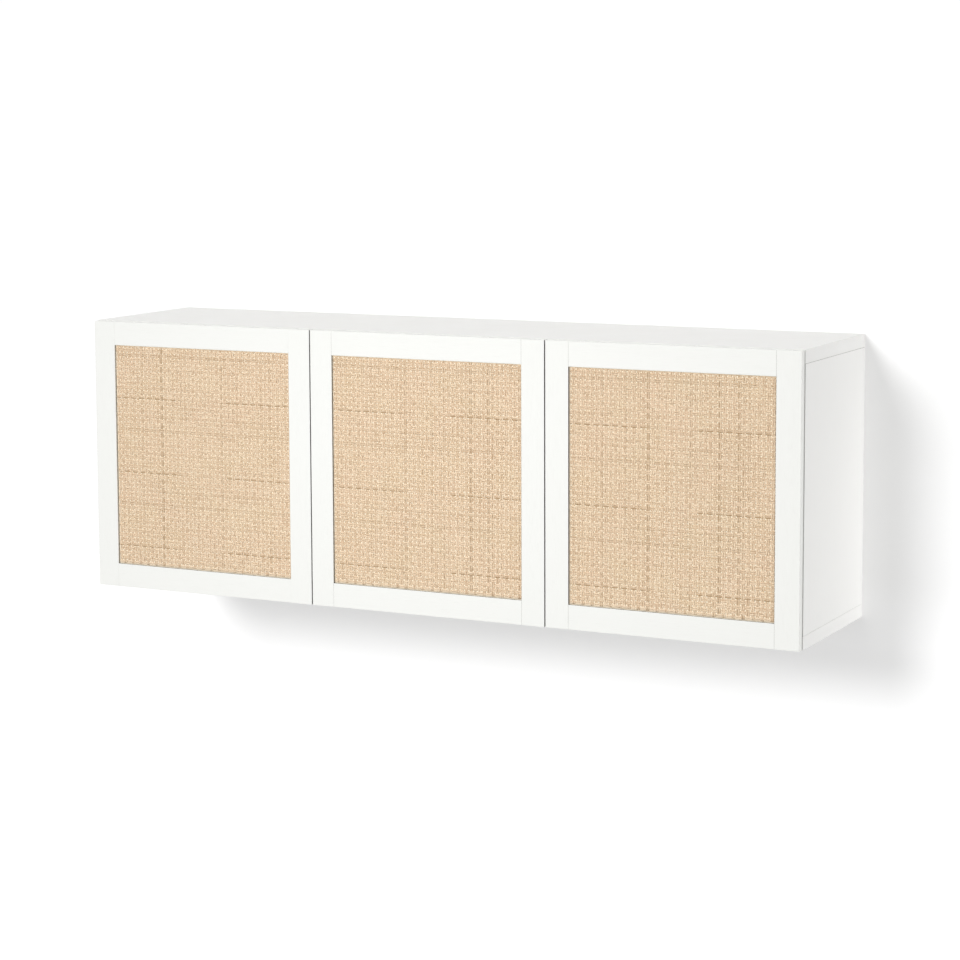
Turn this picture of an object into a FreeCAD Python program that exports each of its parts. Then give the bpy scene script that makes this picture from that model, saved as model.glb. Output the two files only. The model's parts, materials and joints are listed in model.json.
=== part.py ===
# A wall-hung record cabinet: three modules side by side, each with a shelf and a push-open
# door whose frame holds a woven panel.  Millimetres.  +X runs along the cabinet's width,
# +Y towards the wall, +Z up.  The origin is on the wall, at the middle of the screw line
# of the middle wall rail.
import FreeCAD, Part
import os
import re
from FreeCAD import Placement, Rotation, Vector

sizes = {
    # carcass
    "cabinetWidth": 1800,
    "cabinetHeight": 648,
    "carcassDepth": 400,
    "moduleCount": 3,
    "topPanel": 30,
    "bottomPanel": 30,
    "sidePanel": 18,
    "shelfPanel": 18,
    "backPanel": 3,
    "backInset": 20,          # hollow behind the back panel, for the wall rail
    "grooveDepth": 8,
    "grooveSlack": 0.2,
    "lowerBay": 335,          # a 12-inch sleeve stands 315 high
    "shelfSetback": 20,
    "shelfSlack": 1,
    # door
    "doorPanel": 18,
    "doorStandoff": 2,        # from the carcass front to the door's back
    "doorGap": 3,             # between two doors, half of it on each module
    "stileFace": 56,
    "railFace": 56,
    "wovenRecess": 4,
    "wovenPanel": 2,
    "wovenGap": 2,            # shadow gap round the woven panel, which is glued to its board
    "backingBoard": 8,
    "lipReach": 10,           # how far the frame's front lip covers the backing board
    "panelSlack": 1,
    "tenonLength": 20,
    "tenonThickness": 6,
    "tenonShoulder": 10,
    "tenonSlack": 0.1,
    "tenonCover": 2,          # from the woven panel's front to the tenon's
    # single-joint cup hinge
    "hingeInset": 90,
    "cupRadius": 17.5,
    "cupDepth": 14.6,
    "cupEdge": 3,
    "cupWall": 1,
    "cupFloor": 0.6,
    "cupFit": 0.1,
    "flangeThickness": 1.2,
    "flangeHalfHeight": 30,
    "flangeReach": 22,
    "cupScrewSpan": 48,
    "cupScrewOffset": 6,
    "cupScrewHead": 0.8,      # sunk flush into the flange
    "pivotFromEdge": 6.3,
    "pivotDepth": 11.8,
    "pivotRadius": 1,
    "pivotFit": 0.06,
    "pivotLength": 15,
    "earHeight": 3.8,
    "neckWidth": 7,
    "neckThickness": 2.4,
    "neckReach": 18.6,        # from the pivot to the far side of the arm's upright
    "uprightThickness": 4,
    "neckClearance": 1,
    "plateSetback": 37,
    "plateScrewSpan": 32,
    "plateWing": 2.5,
    "plateWingLength": 18,
    "plateWingHeight": 50,
    "plateSpine": 2.3,
    "plateSpineLength": 46,
    "plateSpineWidth": 11,
    "armThickness": 5,
    "armSetback": 2,
    "armLength": 60,
    "armWidth": 15,
    # push latch
    "latchInset": 40,
    "latchRadius": 5,
    "latchLength": 60,
    "latchFlange": 0.7,
    "latchFlangeRadius": 7,
    "latchWall": 1.4,
    "plungerLength": 40,
    "plungerFit": 0.08,
    "plungerTouch": 0.05,
    "strikePlate": 1,
    "strikeWidth": 24,
    "strikeHeight": 20,
    "strikePegRadius": 2.5,
    "strikePegCover": 1,      # wood left between the peg and the rail's tenon
    # carcass fittings
    "fittingFit": 0.1,
    "fittingSetback": 40,
    "camRadius": 7.5,
    "camInset": 34,
    "camSlot": 1.2,
    "camSlotDepth": 1.5,
    "boltRadius": 2.5,
    "boltHeadRadius": 3.5,
    "boltHeadHeight": 3,
    "boltBoreRadius": 4.1,
    "boltThreadLength": 11,
    "dowelRadius": 4,
    "dowelLength": 30,
    "dowelInPanel": 10,
    "dowelSetback": 95,
    "connectorRadius": 4,
    "connectorHeadRadius": 6.5,
    "connectorHead": 1.2,
    "connectorSetback": 140,
    "connectorInset": 80,
    "pinRadius": 2.45,
    "pinInPanel": 8,
    "pinReach": 8,
    "pinSeatWidth": 8,
    "pinPitch": 32,
    "pinRows": 5,
    "pinSetback": 45,
    "screwRadius": 1.5,
    "screwHeadRadius": 3.2,
    "screwHeadHeight": 1.8,
    "screwBite": 13,
    # wall rail and the hooks that hang on it
    "railDrop": 100,          # from the cabinet's top to the rail's screw line
    "railSheet": 2,
    "railBelow": 20,
    "railStep": 14,
    "railLip": 26,
    "railStandoff": 8,
    "railEndGap": 0.5,
    "railHoleRadius": 3,
    "railHoleSpan": 400,
    "hookWidth": 14,
    "hookTop": 62,
    "hookDepth": 18.5,
    "hookWallGap": 0.5,
    "hookSlack": 0.4,
    "hookScrewLow": 36,
    "hookScrewRear": 13.75,
    "hookScrewPitch": 16,
}

# What follows from the sizes, as sheet formulas.
places = {
    "moduleWidth": "cabinetWidth / moduleCount",
    "ceiling": "cabinetHeight - topPanel",
    "innerRight": "moduleWidth - sidePanel",
    "carcassFront": "-carcassDepth",
    "backFront": "-backInset - backPanel",
    "shelfUnder": "bottomPanel + lowerBay",
    "shelfTop": "shelfUnder + shelfPanel",
    "doorBack": "-carcassDepth - doorStandoff",
    "doorFront": "doorBack - doorPanel",
    "doorLeft": "doorGap / 2",
    "doorLow": "doorGap / 2",
    "doorHigh": "cabinetHeight - doorGap / 2",
    "stileInner": "doorLeft + stileFace",
    "rebateEdge": "stileInner - lipReach",
    "rebateLow": "doorLow + railFace - lipReach",
    "rebateHigh": "doorHigh - railFace + lipReach",
    "wovenFront": "doorFront + wovenRecess",
    "backingFront": "wovenFront + wovenPanel",
    "backingRear": "backingFront + backingBoard",
    "tenonFront": "wovenFront + tenonCover",
    "hingeLow": "doorLow + hingeInset",
    "hingeHigh": "doorHigh - hingeInset",
    "cupCentre": "doorLeft + cupEdge + cupRadius",
    "cupBottom": "doorBack - cupDepth",
    "cupScrewPlace": "cupCentre + cupScrewOffset",
    "pivotAcross": "doorLeft + pivotFromEdge",
    "pivotBack": "doorBack - pivotDepth",
    "latchHeight": "cabinetHeight - topPanel / 2",
    "plungerTip": "doorBack + strikePlate + plungerTouch",
    "strikePegLength": "doorBack - tenonFront - tenonThickness - strikePegCover",
    "frontFitting": "carcassFront + fittingSetback",
    "rearFitting": "backFront - fittingSetback",
    "frontDowel": "carcassFront + dowelSetback",
    "rearDowel": "backFront - dowelSetback",
    "frontConnector": "carcassFront + connectorSetback",
    "rearConnector": "backFront - connectorSetback",
    "lowConnector": "bottomPanel + connectorInset",
    "highConnector": "ceiling - connectorInset",
    "frontPin": "carcassFront + pinSetback",
    "rearPin": "backFront - pinSetback",
    "pinHeight": "shelfUnder - pinRadius",
    "camDepth": "sidePanel / 2 + boltHeadRadius",     # down to the far side of the bolt's head
    "lowCam": "bottomPanel + camInset",
    "highCam": "ceiling - camInset",
    "hingeScrewRow": "carcassFront + plateSetback",
    "screwLine": "cabinetHeight - railDrop",
    "hookScrewRow": "-hookScrewRear",
    "hookLowScrew": "screwLine + hookScrewLow",
    "hookHighScrew": "hookLowScrew + hookScrewPitch",
}

moduleNames = ["left", "middle", "right"]
hingeSides = ["left", "left", "right"]      # the side that each module's door hangs on
beyond = 1                                  # a cut runs this far past the face that it opens

doc = FreeCAD.newDocument("record_cabinet")


def formula(text):
    """Turns bare size names into references to the two sheets."""
    def reference(match):
        name = match.group()
        if name in sizes:
            return "Sizes." + name
        if name in places:
            return "Places." + name
        return name
    return re.sub(r"[A-Za-z]+", reference, text)


def fillSheet(name, rows, prefix):
    sheet = doc.addObject("Spreadsheet::Sheet", name)
    for line, (alias, entry) in enumerate(rows.items(), start=1):
        sheet.set(f"A{line}", alias)
        sheet.set(f"B{line}", prefix + (formula(entry) if prefix else str(entry)))
        sheet.setAlias(f"B{line}", alias)
    doc.recompute()
    return sheet


sizeSheet = fillSheet("Sizes", sizes, "")
placeSheet = fillSheet("Places", places, "=")


def number(name):
    """A size or place, read back from its sheet, for the shapes that Part's own functions make."""
    return float(sizeSheet.get(name) if name in sizes else placeSheet.get(name))


# ---- primitives bound to the sheets, in a module's own frame: X from the module's left
# ---- boundary, Y from the wall, Z from the cabinet's underside

starts = {}                                 # where each primitive starts in its module's frame


def moveTo(obj, x="0", y="0", z="0"):
    starts[obj.Name] = (x, y, z)
    for axis, text in zip("xyz", (x, y, z)):
        obj.setExpression(f".Placement.Base.{axis}", formula(text))


def box(x, y, z):
    """A box between two formulas on each axis."""
    obj = doc.addObject("Part::Box", "Block")
    for side, (low, high) in {"Length": x, "Width": y, "Height": z}.items():
        obj.setExpression(side, formula(f"({high}) - ({low})"))
    moveTo(obj, x[0], y[0], z[0])
    return obj


axisTurns = {
    "x": Rotation(Vector(0, 1, 0), 90),
    "y": Rotation(Vector(1, 0, 0), -90),
    "z": Rotation(),
}


def rod(axis, radius, start, length, x="0", y="0", z="0"):
    """A cylinder along +axis from start; x, y and z place its centre line."""
    obj = doc.addObject("Part::Cylinder", "Rod")
    obj.setExpression("Radius", formula(radius))
    obj.setExpression("Height", formula(length))
    obj.Placement = Placement(Vector(), axisTurns[axis])
    centre = {"x": x, "y": y, "z": z, axis: start}
    moveTo(obj, centre["x"], centre["y"], centre["z"])
    return obj


def fuse(pieces):
    if len(pieces) == 1:
        return pieces[0]
    obj = doc.addObject("Part::MultiFuse", "Joined")
    obj.Shapes = pieces
    obj.Refine = True
    return obj


def cut(base, tools):
    if not tools:
        return base
    obj = doc.addObject("Part::Cut", "Trimmed")
    obj.Base = base
    obj.Tool = fuse(tools)
    return obj


def span(side, near, far):
    """The X range from near to far, measured in from the module's left or right boundary."""
    if side == "left":
        return (near, far)
    return (f"moduleWidth - ({far})", f"moduleWidth - ({near})")


def across(side, distance):
    return distance if side == "left" else f"moduleWidth - ({distance})"


subParts = {}


def keep(obj, label, module):
    """Names a sub-part and puts it in its module."""
    obj.Label = label
    x, y, z = starts.get(obj.Name, ("0", "0", "0"))
    moveTo(obj, f"{x} + moduleWidth * {module} - cabinetWidth / 2", y, f"{z} - screwLine")
    subParts[label] = obj


# ---- carcass

def backGroove(x, z):
    return box(x, ("backFront - grooveSlack", "grooveSlack - backInset"), z)


def sideRod(side, radius, start, length, y, z):
    """A hole across a side panel, from start inwards to the module's middle."""
    first = start if side == "left" else f"moduleWidth - ({start}) - ({length})"
    return rod("x", radius, first, length, y=y, z=z)


def sidePanel(module, side):
    name = f"{moduleNames[module]}_module_{side}_side"
    board = box(span(side, "0", "sidePanel"), ("carcassFront", "0"), ("bottomPanel", "ceiling"))
    middle = across(side, "sidePanel / 2")
    cuts = [backGroove(span(side, "sidePanel - grooveDepth", f"sidePanel + {beyond}"),
                       (f"bottomPanel - {beyond}", f"ceiling + {beyond}"))]
    for y in ("frontPin", "rearPin"):
        for row in range(int(sizes["pinRows"])):
            height = f"pinHeight + ({row} - (pinRows - 1) / 2) * pinPitch"
            cuts.append(sideRod(side, "pinRadius + fittingFit / 2", "sidePanel - pinInPanel - fittingFit",
                                f"pinInPanel + fittingFit + {beyond}", y, height))
    for y in ("frontFitting", "rearFitting"):
        for z in ("lowCam", "highCam"):
            cuts.append(sideRod(side, "camRadius + fittingFit", "sidePanel - camDepth - fittingFit",
                                f"camDepth + fittingFit + {beyond}", y, z))
        for start in (f"bottomPanel - {beyond}", "highCam"):
            cuts.append(rod("z", "boltBoreRadius", start, f"camInset + {beyond}", x=middle, y=y))
    dowelBore = "dowelLength - dowelInPanel + fittingFit"
    for y in ("frontDowel", "rearDowel"):
        for start in (f"bottomPanel - {beyond}", f"ceiling - ({dowelBore})"):
            cuts.append(rod("z", "dowelRadius + fittingFit", start, f"{dowelBore} + {beyond}",
                            x=middle, y=y))
    screwBores = [("hookScrewRow", "hookLowScrew"), ("hookScrewRow", "hookHighScrew")]
    if side == hingeSides[module]:
        for z in ("hingeLow", "hingeHigh"):
            screwBores.append(("hingeScrewRow", f"{z} - plateScrewSpan / 2"))
            screwBores.append(("hingeScrewRow", f"{z} + plateScrewSpan / 2"))
    for y, z in screwBores:
        cuts.append(sideRod(side, "screwRadius + fittingFit", "sidePanel - screwBite - fittingFit",
                            f"screwBite + fittingFit + {beyond}", y, z))
    if joinsNeighbour(module, side):
        for y in ("frontConnector", "rearConnector"):
            for z in ("lowConnector", "highConnector"):
                cuts.append(sideRod(side, "connectorRadius + fittingFit", f"-{beyond}",
                                    f"sidePanel + 2 * {beyond}", y, z))
    keep(cut(board, cuts), name, module)


def joinsNeighbour(module, side):
    return module > 0 if side == "left" else module < len(moduleNames) - 1


def endPanel(module, label, z, face, inward, latchBore):
    """A top or bottom panel: face is its inner face, inward is +1 where that face looks up."""
    board = box(("0", "moduleWidth"), ("carcassFront", "0"), z)
    depths = {"groove": "grooveDepth", "bolt": "boltThreadLength + fittingFit",
              "dowel": "dowelInPanel + fittingFit"}
    start = {name: (f"{face} - ({depth})" if inward > 0 else f"{face} - {beyond}")
             for name, depth in depths.items()}
    cuts = [backGroove(("sidePanel - grooveDepth", "innerRight + grooveDepth"),
                       (start["groove"], f"{start['groove']} + grooveDepth + {beyond}"))]
    for side in ("left", "right"):
        middle = across(side, "sidePanel / 2")
        for y in ("frontFitting", "rearFitting"):
            cuts.append(rod("z", "boltRadius + fittingFit / 2", start["bolt"],
                            f"{depths['bolt']} + {beyond}", x=middle, y=y))
        for y in ("frontDowel", "rearDowel"):
            cuts.append(rod("z", "dowelRadius + fittingFit", start["dowel"],
                            f"{depths['dowel']} + {beyond}", x=middle, y=y))
    if latchBore:
        freeSide = "right" if hingeSides[module] == "left" else "left"
        cuts.append(rod("y", "latchRadius + fittingFit", f"carcassFront - {beyond}",
                        f"latchLength + fittingFit + {beyond}", x=across(freeSide, "latchInset"),
                        z="latchHeight"))
    keep(cut(board, cuts), label, module)


def backPanel(module):
    edge = "sidePanel - grooveDepth + grooveSlack"
    board = box((edge, f"moduleWidth - ({edge})"), ("backFront", "-backInset"),
                ("bottomPanel - grooveDepth + grooveSlack", "ceiling + grooveDepth - grooveSlack"))
    keep(board, f"{moduleNames[module]}_back_panel", module)


def shelf(module):
    board = box(("sidePanel + shelfSlack", "innerRight - shelfSlack"),
                ("carcassFront + shelfSetback", "backFront - shelfSlack"), ("shelfUnder", "shelfTop"))
    keep(board, f"{moduleNames[module]}_shelf", module)


# ---- doors

def mortise(side, low, high):
    return box(span(side, "stileInner - tenonLength - tenonSlack", f"stileInner + {beyond}"),
               ("tenonFront - tenonSlack", "tenonFront + tenonThickness + tenonSlack"),
               (f"{low} - tenonSlack", f"{high} + tenonSlack"))


lowTenon = ("doorLow + tenonShoulder", "rebateLow - tenonShoulder / 2")
highTenon = ("rebateHigh + tenonShoulder / 2", "doorHigh - tenonShoulder")


def stile(module, side):
    hinged = side == hingeSides[module]
    board = box(span(side, "doorLeft", "stileInner"), ("doorFront", "doorBack"), ("doorLow", "doorHigh"))
    rebate = box(span(side, "rebateEdge", f"stileInner + {beyond}"), ("backingFront", f"doorBack + {beyond}"),
                 ("rebateLow", "rebateHigh"))
    cuts = [rebate, mortise(side, *lowTenon), mortise(side, *highTenon)]
    if hinged:
        for height in ("hingeLow", "hingeHigh"):
            cuts.append(rod("y", "cupRadius + cupFit", "cupBottom - cupFit", f"cupDepth + cupFit + {beyond}",
                            x=across(side, "cupCentre"), z=height))
            for way in ("-", "+"):
                cuts.append(rod("y", "screwRadius + fittingFit", "doorBack - screwBite - fittingFit",
                                f"screwBite + fittingFit + {beyond}", x=across(side, "cupScrewPlace"),
                                z=f"{height} {way} cupScrewSpan / 2"))
    else:
        cuts.append(rod("y", "strikePegRadius + fittingFit", "doorBack - strikePegLength - fittingFit",
                        f"strikePegLength + fittingFit + {beyond}", x=across(side, "latchInset"),
                        z="latchHeight"))
    place = "hinge" if hinged else "free"
    keep(cut(board, cuts), f"{moduleNames[module]}_door_{place}_stile", module)


def rail(module, end):
    top = end == "top"
    z = ("doorHigh - railFace", "doorHigh") if top else ("doorLow", "doorLow + railFace")
    lip = (f"{z[0]} - {beyond}", "rebateHigh") if top else ("rebateLow", f"{z[1]} + {beyond}")
    board = box(("stileInner", "moduleWidth - stileInner"), ("doorFront", "doorBack"), z)
    tenons = box(("stileInner - tenonLength", "moduleWidth - stileInner + tenonLength"),
                 ("tenonFront", "tenonFront + tenonThickness"), highTenon if top else lowTenon)
    rebate = box(("stileInner - tenonLength", "moduleWidth - stileInner + tenonLength"),
                 ("backingFront", f"doorBack + {beyond}"), lip)
    keep(cut(fuse([board, tenons]), [rebate]), f"{moduleNames[module]}_door_{end}_rail", module)


def wovenPanel(module):
    sheet = box(("stileInner + wovenGap", "moduleWidth - stileInner - wovenGap"), ("wovenFront", "backingFront"),
                ("doorLow + railFace + wovenGap", "doorHigh - railFace - wovenGap"))
    keep(sheet, f"{moduleNames[module]}_door_woven_panel", module)


def backingBoard(module):
    board = box(("rebateEdge + panelSlack", "moduleWidth - rebateEdge - panelSlack"),
                ("backingFront", "backingRear"), ("rebateLow + panelSlack", "rebateHigh - panelSlack"))
    keep(board, f"{moduleNames[module]}_door_backing_board", module)


def strikePlate(module):
    side = "right" if hingeSides[module] == "left" else "left"
    plate = box(span(side, "latchInset - strikeWidth / 2", "latchInset + strikeWidth / 2"),
                ("doorBack", "doorBack + strikePlate"),
                ("latchHeight - strikeHeight / 2", "latchHeight + strikeHeight / 2"))
    peg = rod("y", "strikePegRadius", "doorBack - strikePegLength", "strikePegLength + strikePlate / 2",
              x=across(side, "latchInset"), z="latchHeight")
    keep(fuse([plate, peg]), f"{moduleNames[module]}_door_strike_plate", module)


def latchPlunger(module):
    side = "right" if hingeSides[module] == "left" else "left"
    pin = rod("y", "latchRadius - latchWall - plungerFit", "plungerTip", "plungerLength",
              x=across(side, "latchInset"), z="latchHeight")
    keep(pin, f"{moduleNames[module]}_latch_plunger", module)


# ---- fittings: one shape each, copied to every place, all of a kind in one node

def group(label, shapes):
    obj = doc.addObject("Part::Feature", label)
    obj.Shape = Part.makeCompound(shapes)
    obj.Placement = Placement(Vector(0, 0, -number("screwLine")), Rotation())
    obj.Label = label
    subParts[label] = obj


def placed(shape, x, y, z, rotation=Rotation()):
    copy = shape.copy()
    copy.Placement = Placement(Vector(x, y, z), rotation)
    return copy


def moduleLeft(module):
    return module * number("moduleWidth") - number("cabinetWidth") / 2


def inModule(shapes, module, side):
    """Moves shapes drawn at a module's left side to that side of the module."""
    moved = []
    for shape in shapes:
        if side == "right":
            shape = shape.mirror(Vector(number("moduleWidth") / 2, 0, 0), Vector(1, 0, 0))
        moved.append(shape.translated(Vector(moduleLeft(module), 0, 0)))
    return moved


def slab(x, y, z):
    return Part.makeBox(x[1] - x[0], y[1] - y[0], z[1] - z[0], Vector(x[0], y[0], z[0]))


def bar(radius, start, length, direction):
    return Part.makeCylinder(radius, length, start, direction)


along, toWall, up = Vector(1, 0, 0), Vector(0, 1, 0), Vector(0, 0, 1)
modules = range(len(moduleNames))
sides = ("left", "right")


def jointPlaces(row):
    """The middle of a side panel's two ends, in that row of fittings, with the way out of each end."""
    middle, y = number("sidePanel") / 2, number(row)
    return [(Vector(middle, y, number("bottomPanel")), -1), (Vector(middle, y, number("ceiling")), 1)]


def camBolt(end, way):
    """Threaded into the end panel, with its head in the cam."""
    inset, head = number("camInset"), number("boltHeadHeight")
    shank = bar(number("boltRadius"), end - up * (way * inset), inset + number("boltThreadLength"), up * way)
    knob = bar(number("boltHeadRadius"), end - up * (way * (inset + head / 2)), head, up * way)
    return shank.fuse(knob)


def camLock(end, way):
    inset, radius, depth = number("camInset"), number("camRadius"), number("camDepth")
    face = number("sidePanel")
    centre = end - up * (way * inset)
    body = bar(radius, Vector(face - depth, centre.y, centre.z), depth, along)
    cavity = bar(number("boltBoreRadius"), centre - up * (way * number("boltHeadHeight")), 2 * radius,
                 up * way)
    slot, arm, deep = number("camSlot") / 2, radius / 2, (face - number("camSlotDepth"), face + beyond)
    crossAlong = slab(deep, (centre.y - arm, centre.y + arm), (centre.z - slot, centre.z + slot))
    crossUp = slab(deep, (centre.y - slot, centre.y + slot), (centre.z - arm, centre.z + arm))
    return body.cut([cavity, crossAlong, crossUp])


def woodDowel(end, way):
    start = end - up * (way * (number("dowelLength") - number("dowelInPanel")))
    return bar(number("dowelRadius"), start, number("dowelLength"), up * way)


def shelfPin(y):
    face, radius, half = number("sidePanel"), number("pinRadius"), number("pinSeatWidth") / 2
    bite = number("pinInPanel")
    peg = bar(radius, Vector(face - bite, y, number("pinHeight")), bite, along)
    seat = slab((face, face + number("pinReach")), (y - half, y + half),
                (number("shelfUnder") - 2 * radius, number("shelfUnder")))
    return peg.fuse(seat)


def connector(y, z):
    """A screw in a sleeve, through the two side panels that meet on x = 0."""
    face, head, reach = number("sidePanel"), number("connectorHead"), number("connectorRadius")
    shank, headRadius = number("boltRadius"), number("connectorHeadRadius")
    sleeve = bar(reach, Vector(-face, y, z), 2 * face - head, along)
    sleeve = sleeve.fuse(bar(headRadius, Vector(-face - head, y, z), head, along))
    sleeve = sleeve.cut(bar(shank + number("fittingFit") / 2, Vector(-face / 2, y, z), 2 * face, along))
    screw = bar(shank, Vector(-face / 4, y, z), face + face / 4, along)
    screw = screw.fuse(bar(headRadius, Vector(face, y, z), head, along))
    return [sleeve, screw]


def panelScrew(y, z, web):
    """Driven across into the side panel, with its head on a web of this thickness."""
    face = number("sidePanel")
    bite = number("screwBite")
    shank = bar(number("screwRadius"), Vector(face - bite, y, z), bite + web, along)
    head = bar(number("screwHeadRadius"), Vector(face + web, y, z), number("screwHeadHeight"), along)
    return shank.fuse(head)


def carcassFittings():
    camBolts, camLocks, dowels, pins, screws = [], [], [], [], []
    for module in modules:
        for side in sides:
            fittings = jointPlaces("frontFitting") + jointPlaces("rearFitting")
            camBolts += inModule([camBolt(*place) for place in fittings], module, side)
            camLocks += inModule([camLock(*place) for place in fittings], module, side)
            dowelPlaces = jointPlaces("frontDowel") + jointPlaces("rearDowel")
            dowels += inModule([woodDowel(*place) for place in dowelPlaces], module, side)
            pins += inModule([shelfPin(number(y)) for y in ("frontPin", "rearPin")], module, side)
            web = number("plateWing")
            screwPlaces = [(number("hookScrewRow"), number(z)) for z in ("hookLowScrew", "hookHighScrew")]
            if side == hingeSides[module]:
                half = number("plateScrewSpan") / 2
                screwPlaces += [(number("hingeScrewRow"), number(hinge) + way * half)
                                for hinge in ("hingeLow", "hingeHigh") for way in (-1, 1)]
            screws += inModule([panelScrew(y, z, web) for y, z in screwPlaces], module, side)
    group("cam_bolts", camBolts)
    group("cam_locks", camLocks)
    group("wood_dowels", dowels)
    group("shelf_pins", pins)
    group("panel_screws", screws)
    connectors = []
    for module in modules[1:]:
        for y in ("frontConnector", "rearConnector"):
            for z in ("lowConnector", "highConnector"):
                connectors += [shape.translated(Vector(moduleLeft(module), 0, 0))
                               for shape in connector(number(y), number(z))]
    group("module_connectors", connectors)


def wallRail():
    """A sheet steel rail: a plate on the wall, a step away from it and an upright lip."""
    sheetSteel, line, out = number("railSheet"), number("screwLine"), number("railStandoff")
    x = (number("sidePanel") + number("railEndGap"), number("innerRight") - number("railEndGap"))
    stepTop = line + number("railStep")
    plate = slab(x, (-sheetSteel, 0), (line - number("railBelow"), stepTop))
    step = slab(x, (-out, 0), (stepTop - sheetSteel, stepTop))
    lip = slab(x, (-out, -out + sheetSteel), (stepTop - sheetSteel, line + number("railLip")))
    steel = plate.fuse([step, lip]).removeSplitter()
    middle, half = number("moduleWidth") / 2, number("railHoleSpan") / 2
    holes = [bar(number("railHoleRadius"), Vector(middle + way * half, -out, line), 2 * out, toWall)
             for way in (-1, 1)]
    return steel.cut(holes)


def hangingHook():
    """A block on the side panel that hooks down over the rail's lip."""
    line, face, slack = number("screwLine"), number("sidePanel"), number("hookSlack")
    rear = -number("hookWallGap")
    block = slab((face, face + number("hookWidth")), (rear - number("hookDepth"), rear),
                 (line + number("railStep") + slack, line + number("hookTop")))
    lipFront = -number("railStandoff")
    slot = slab((face - beyond, face + number("hookWidth") + beyond),
                (lipFront - slack, lipFront + number("railSheet") + slack),
                (line, line + number("railLip")))
    web = number("plateWing")
    holes = []
    for height in ("hookLowScrew", "hookHighScrew"):
        y, z = number("hookScrewRow"), number(height)
        holes.append(bar(number("screwRadius") + number("fittingFit"), Vector(face - beyond, y, z),
                         number("hookWidth"), along))
        holes.append(bar(number("screwHeadRadius") + number("fittingFit"), Vector(face + web, y, z),
                         number("hookWidth"), along))
    return block.cut([slot] + holes)


def hangingParts():
    rails, hooks = [], []
    for module in modules:
        rails += inModule([wallRail()], module, "left")
        for side in sides:
            hooks += inModule([hangingHook()], module, side)
    group("wall_rails", rails)
    group("hanging_hooks", hooks)


def latchHousing():
    """A tube bored into the top panel's front edge, open at the front, with a thin flange."""
    x, z, front = number("latchInset"), number("latchHeight"), number("carcassFront")
    flange = number("latchFlange")
    tube = bar(number("latchRadius"), Vector(x, front - flange, z), number("latchLength") + flange, toWall)
    rim = bar(number("latchFlangeRadius"), Vector(x, front - flange, z), flange, toWall)
    hollow = bar(number("latchRadius") - number("latchWall"), Vector(x, front - 2 * flange, z),
                 number("latchLength"), toWall)
    return tube.fuse(rim).cut(hollow)


# ---- single-joint cup hinge, drawn at a module's left side

def hingeCup(z):
    radius, wall, x = number("cupRadius"), number("cupWall"), number("cupCentre")
    back, bottom = number("doorBack"), number("cupBottom")
    face = back + number("flangeThickness")
    floor = bottom + number("cupFloor")
    pot = bar(radius, Vector(x, bottom, z), back - bottom, toWall)
    flangeMiddle, halfReach = x + number("cupScrewOffset") / 2, number("flangeReach") / 2
    flange = slab((flangeMiddle - halfReach, flangeMiddle + halfReach), (back, face),
                  (z - number("flangeHalfHeight"), z + number("flangeHalfHeight")))
    rim = bar(radius + wall, Vector(x, back, z), number("flangeThickness"), toWall)
    hollow = bar(radius - wall, Vector(x, floor, z), face - floor + beyond, toWall)
    neckHalf = number("neckWidth") / 2 + number("neckClearance")
    pivotX, pivotY = number("pivotAcross"), number("pivotBack")
    earWidth = number("pivotLength") / 2
    earReach = number("earHeight") / 2
    ears = slab((x - radius + wall / 2, pivotX + earReach), (floor - wall / 4, pivotY + earReach),
                (z - earWidth - wall, z + earWidth + wall))
    ears = ears.common(bar(radius - wall / 2, Vector(x, bottom, z), back - bottom, toWall))
    slotFront = x - radius + wall / 2
    slot = slab((slotFront, pivotX + 2 * earReach), (floor, face + beyond), (z - neckHalf, z + neckHalf))
    pivotHole = bar(number("pivotRadius") + number("pivotFit"), Vector(pivotX, pivotY, z - earWidth),
                    2 * earWidth, up)
    cup = pot.fuse([flange, rim]).cut(hollow).fuse(ears).cut([slot, pivotHole])
    screwX, headDeep = number("cupScrewPlace"), number("cupScrewHead")
    for way in (-1, 1):
        screwZ = z + way * number("cupScrewSpan") / 2
        through = bar(number("screwRadius") + number("fittingFit"), Vector(screwX, back - beyond, screwZ),
                      3 * beyond, toWall)
        sink = bar(number("screwHeadRadius") + number("fittingFit"),
                   Vector(screwX, face - headDeep, screwZ), headDeep + beyond, toWall)
        cup = cup.cut([through, sink])
    return cup


def cupScrew(z):
    """Flat-headed, flush with the flange."""
    x, back = number("cupScrewPlace"), number("doorBack")
    face, headDeep = back + number("flangeThickness"), number("cupScrewHead")
    shank = bar(number("screwRadius"), Vector(x, back - number("screwBite"), z),
                number("screwBite") + number("flangeThickness") - headDeep, toWall)
    return shank.fuse(bar(number("screwHeadRadius"), Vector(x, face - headDeep, z), headDeep, toWall))


def hingePin(z):
    return bar(number("pivotRadius"), Vector(number("pivotAcross"), number("pivotBack"),
               z - number("pivotLength") / 2 + beyond / 4), number("pivotLength") - beyond / 2, up)


def hingePlate(z):
    """A cross-shaped plate on the side panel: two wings with the screws, and a spine for the arm."""
    face, row = number("sidePanel"), number("hingeScrewRow")
    wing, spine = number("plateWing"), number("plateSpine")
    halfLength, halfHeight = number("plateWingLength") / 2, number("plateWingHeight") / 2
    wings = slab((face, face + wing), (row - halfLength, row + halfLength), (z - halfHeight, z + halfHeight))
    ridge = slab((face, face + wing + spine),
                 (row - number("plateSpineLength") / 2, row + number("plateSpineLength") / 2),
                 (z - number("plateSpineWidth") / 2, z + number("plateSpineWidth") / 2))
    holes = [bar(number("screwRadius") + number("fittingFit"),
                 Vector(face - beyond, row, z + way * number("plateScrewSpan") / 2), wing + 2 * beyond, along)
             for way in (-1, 1)]
    return wings.fuse(ridge).cut(holes)


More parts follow.
